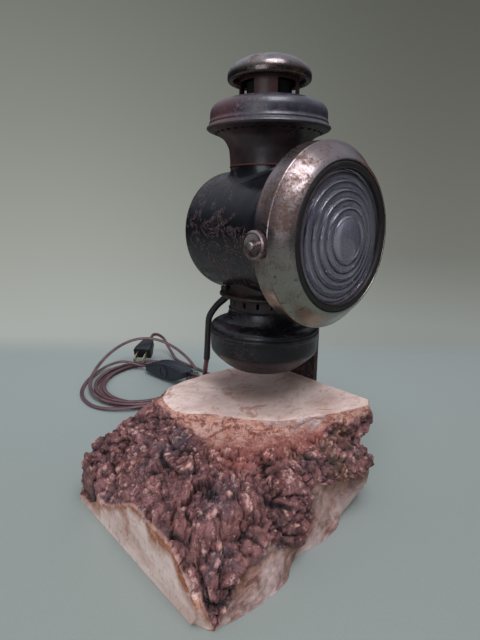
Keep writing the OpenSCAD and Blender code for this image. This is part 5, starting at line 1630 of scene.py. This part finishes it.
        # small raised knots, whose pale coat is a painted highlight
        knot_and_highlight = bark * unit((tag2 - 0.92) / 0.02) * unit((0.27 - mid1) / 0.07)
        lift = bark * (2.4 * big_tilt + 3.0 * (tag - 0.5) + 1.6 * mid_tilt + 2.0 * (tag2 - 0.5) + 0.45 * small_tilt
                       + 2.6 * np.clip(0.8 - mid1, -0.3, 0.6) + 3.4 * np.clip(0.7 - big1, -0.3, 0.6)
                       + 1.3 * rough + 2.2 * swell - 2.6 * crack - 1.7 * cracklet) - 4.2 * bark * deep + 0.8 * knot_and_highlight
        lift += torn * np.clip(v / 0.3, 0.3, 1) * (2.0 * rough + 0.9 * mid_tilt + 0.5 * small_tilt - 0.8 * cracklet)
        lift = lift * (1 - peel) + peel * (1.2 * rough + 1.4 * swell + 0.4 * small_tilt - 1.2)
        lift = np.clip(lift * (1 - 0.5 * unit(1 - np.abs(u - 20) / 2.6)) * (1 - wrap), -6.0, 4.0)
        lift = np.where(right_wall | face, 0.0, np.where(plane, np.minimum(lift, 0.0), lift))
        moved = p + normal * lift[:, None]
        ragged = 1.3 * soft(p, 11, 3, 50) * np.exp(-(v / 0.5) ** 2) * ~right_wall
        moved[:, :2] += normal[:, :2] * ragged[:, None]
        moved = np.clip(moved, (self.left_x, self.front_y, 0.0), (self.right_x, self.back_y, self.top_z))
        moved[face, 0] = self.left_x
        moved[v >= 4.999, 2] = 0.0
        # painted shade: cracks, long cracks and low spots of the bark get the dark coat
        cavity_shade = bark * (0.9 * crack + 0.55 * cracklet + 1.4 * deep + 1.1 * unit(-rough - 0.1) + 0.9 * unit(-lift / 4))
        # painted shadow under the bark's overhang, along the top of the peeled wood
        under = unit(np.interp(u, (5, 6), (1.7, 1.25)) - np.abs(v - edge) / np.interp(u, (0, 5.4, 6.5, 9),
                                                                                      (0.8, 0.8, 0.3, 0.25))
                     + 0.9 * soft(p, 12, 4, 98))
        return moved, {
            "sawn": unit(face * 1.0 + right_wall + wrap + (v < 0.01)), "inner": torn, "peeled": peel, "knob": knot_and_highlight,
            "cavity_shade": unit(cavity_shade * (1 - peel)) * (v > 0.02),
            # painted highlight on the nodules' tops
            "high": bark * unit(0.25 + 0.05 * lift + 0.7 * (tag3 - 0.5) + 0.5 * (0.5 - small1) + 0.6 * (0.45 - mid1)
                                + 0.5 * rough),
            "pale": torn * unit(1.1 - np.abs(u - 4.0) / 1.5 - np.clip(v - 0.5, 0, 2) / 0.6
                                + 1.6 * soft(p * (1, 1, 2.2), 14, 4, 81)),
            # the peel part is painted shadow under the overhang; the rest is the real brown rim
            "rim": self.left_rim(moved, noise) * face + peel * under
                   + wrap * ~face * unit(1.3 - past / 0.22 + 0.6 * soft(p, 6, 3, 99)),
            "red": unit(u / 0.5) * unit((11.5 - u) / 2.5) * unit((-p[:, 0] + 8) / 20)
                   * unit(1.2 - np.abs(v - start - 0.1) / 0.7 + 0.8 * soft(p, 12, 3, 97)),
            "stain": np.zeros(len(p))}

    def sawn_top(self, rim: Array, noise: Knobs) -> tuple[Array, Array]:
        """Fills the sawn top from its rim to its middle.

        Args:
            rim: The rim's points.
            noise: The block's noise.

        Returns:
            The new points, and how much painted shadow of the lamp each gets.
        """
        middle, out = np.array([2.0, -6.0, self.top_z]), []
        for k in range(1, self.rings + 1):
            ring = rim + (middle - rim) * (k / self.rings) ** 0.9
            ring[:, 2] = self.top_z - 0.25 * (0.5 + 0.5 * noise.soft(ring, 12, 3, 70)) * min(1.0, k / 3)
            out.append(ring)
        out[-1][:] = middle
        points = np.concatenate(out)
        # painted shadow of the lamp: more of the brown coat towards a point under its foot
        near = np.linalg.norm(points[:, :2] - (2, 8), axis=1)
        return points, np.clip(0.9 + 0.5 * noise.soft(points, 30, 4, 71) - near / 75, 0, 0.5)

    def build(self) -> None:
        """Builds the block's mesh, its relief and the masks that its skin reads."""
        shell, depth = self.shell()
        rows, cols = shell.shape[:2]
        p = shell.reshape(-1, 3)
        across = np.roll(shell, -1, axis=1) - np.roll(shell, 1, axis=1)
        normal = np.cross(across, np.gradient(shell, axis=0)).reshape(-1, 3)
        normal /= np.maximum(np.linalg.norm(normal, axis=1, keepdims=True), 1e-9)
        if float(np.median(np.einsum("ij,ij->i", normal, p - (-50.0, -20.0, 35.0)))) < 0:
            normal = -normal
        u = np.tile(np.linspace(0, len(self.STATIONS), cols, endpoint=False), rows)
        noise = Knobs(self.seed)
        moved, masks = self.relief(p, normal, u, np.repeat(depth, cols), noise)
        top, stain = self.sawn_top(moved[:cols], noise)
        from_top = np.concatenate([np.arange(cols), len(moved) + np.arange(len(top))])
        faces = [*quads(rows, cols)[:, [0, 3, 2, 1]], *from_top[quads(self.rings + 1, cols)],
                 range((rows - 1) * cols, rows * cols)]
        piece = build_mesh("burl_slab", np.concatenate([moved, top]) * MM, faces, BurlSkin(), 55, tidy=False)
        for name, values in masks.items():
            # the sawn top carries the lamp's painted shadow in the stain mask
            on_top = stain if name == "stain" else np.full(len(top), float(name == "sawn"))
            carry(piece.data, name, np.concatenate([values, on_top]))
        mend(piece.data, flat=False)
        settle(piece, "stand", "burl_wood", "burl_block")


def write_sizes() -> None:
    """Updates the view layer.
    """
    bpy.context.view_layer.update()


def main() -> None:
    """Builds the scene: studio and flex first, then the lamp from the chimney down, then the block."""
    logging.basicConfig(level=logging.INFO, format="%(name)s: %(message)s")
    Studio().build()
    Flex().build()
    cuts, copies = ring_cuts(), ring_copies()
    LampBody().build()
    Chimney().build(cuts)
    Fount().build(cuts)
    Door().build()
    Latch().build(copies)
    dress_small_parts()
    BurlBlock().build()
    write_sizes()


if __name__ == "__main__":
    main()
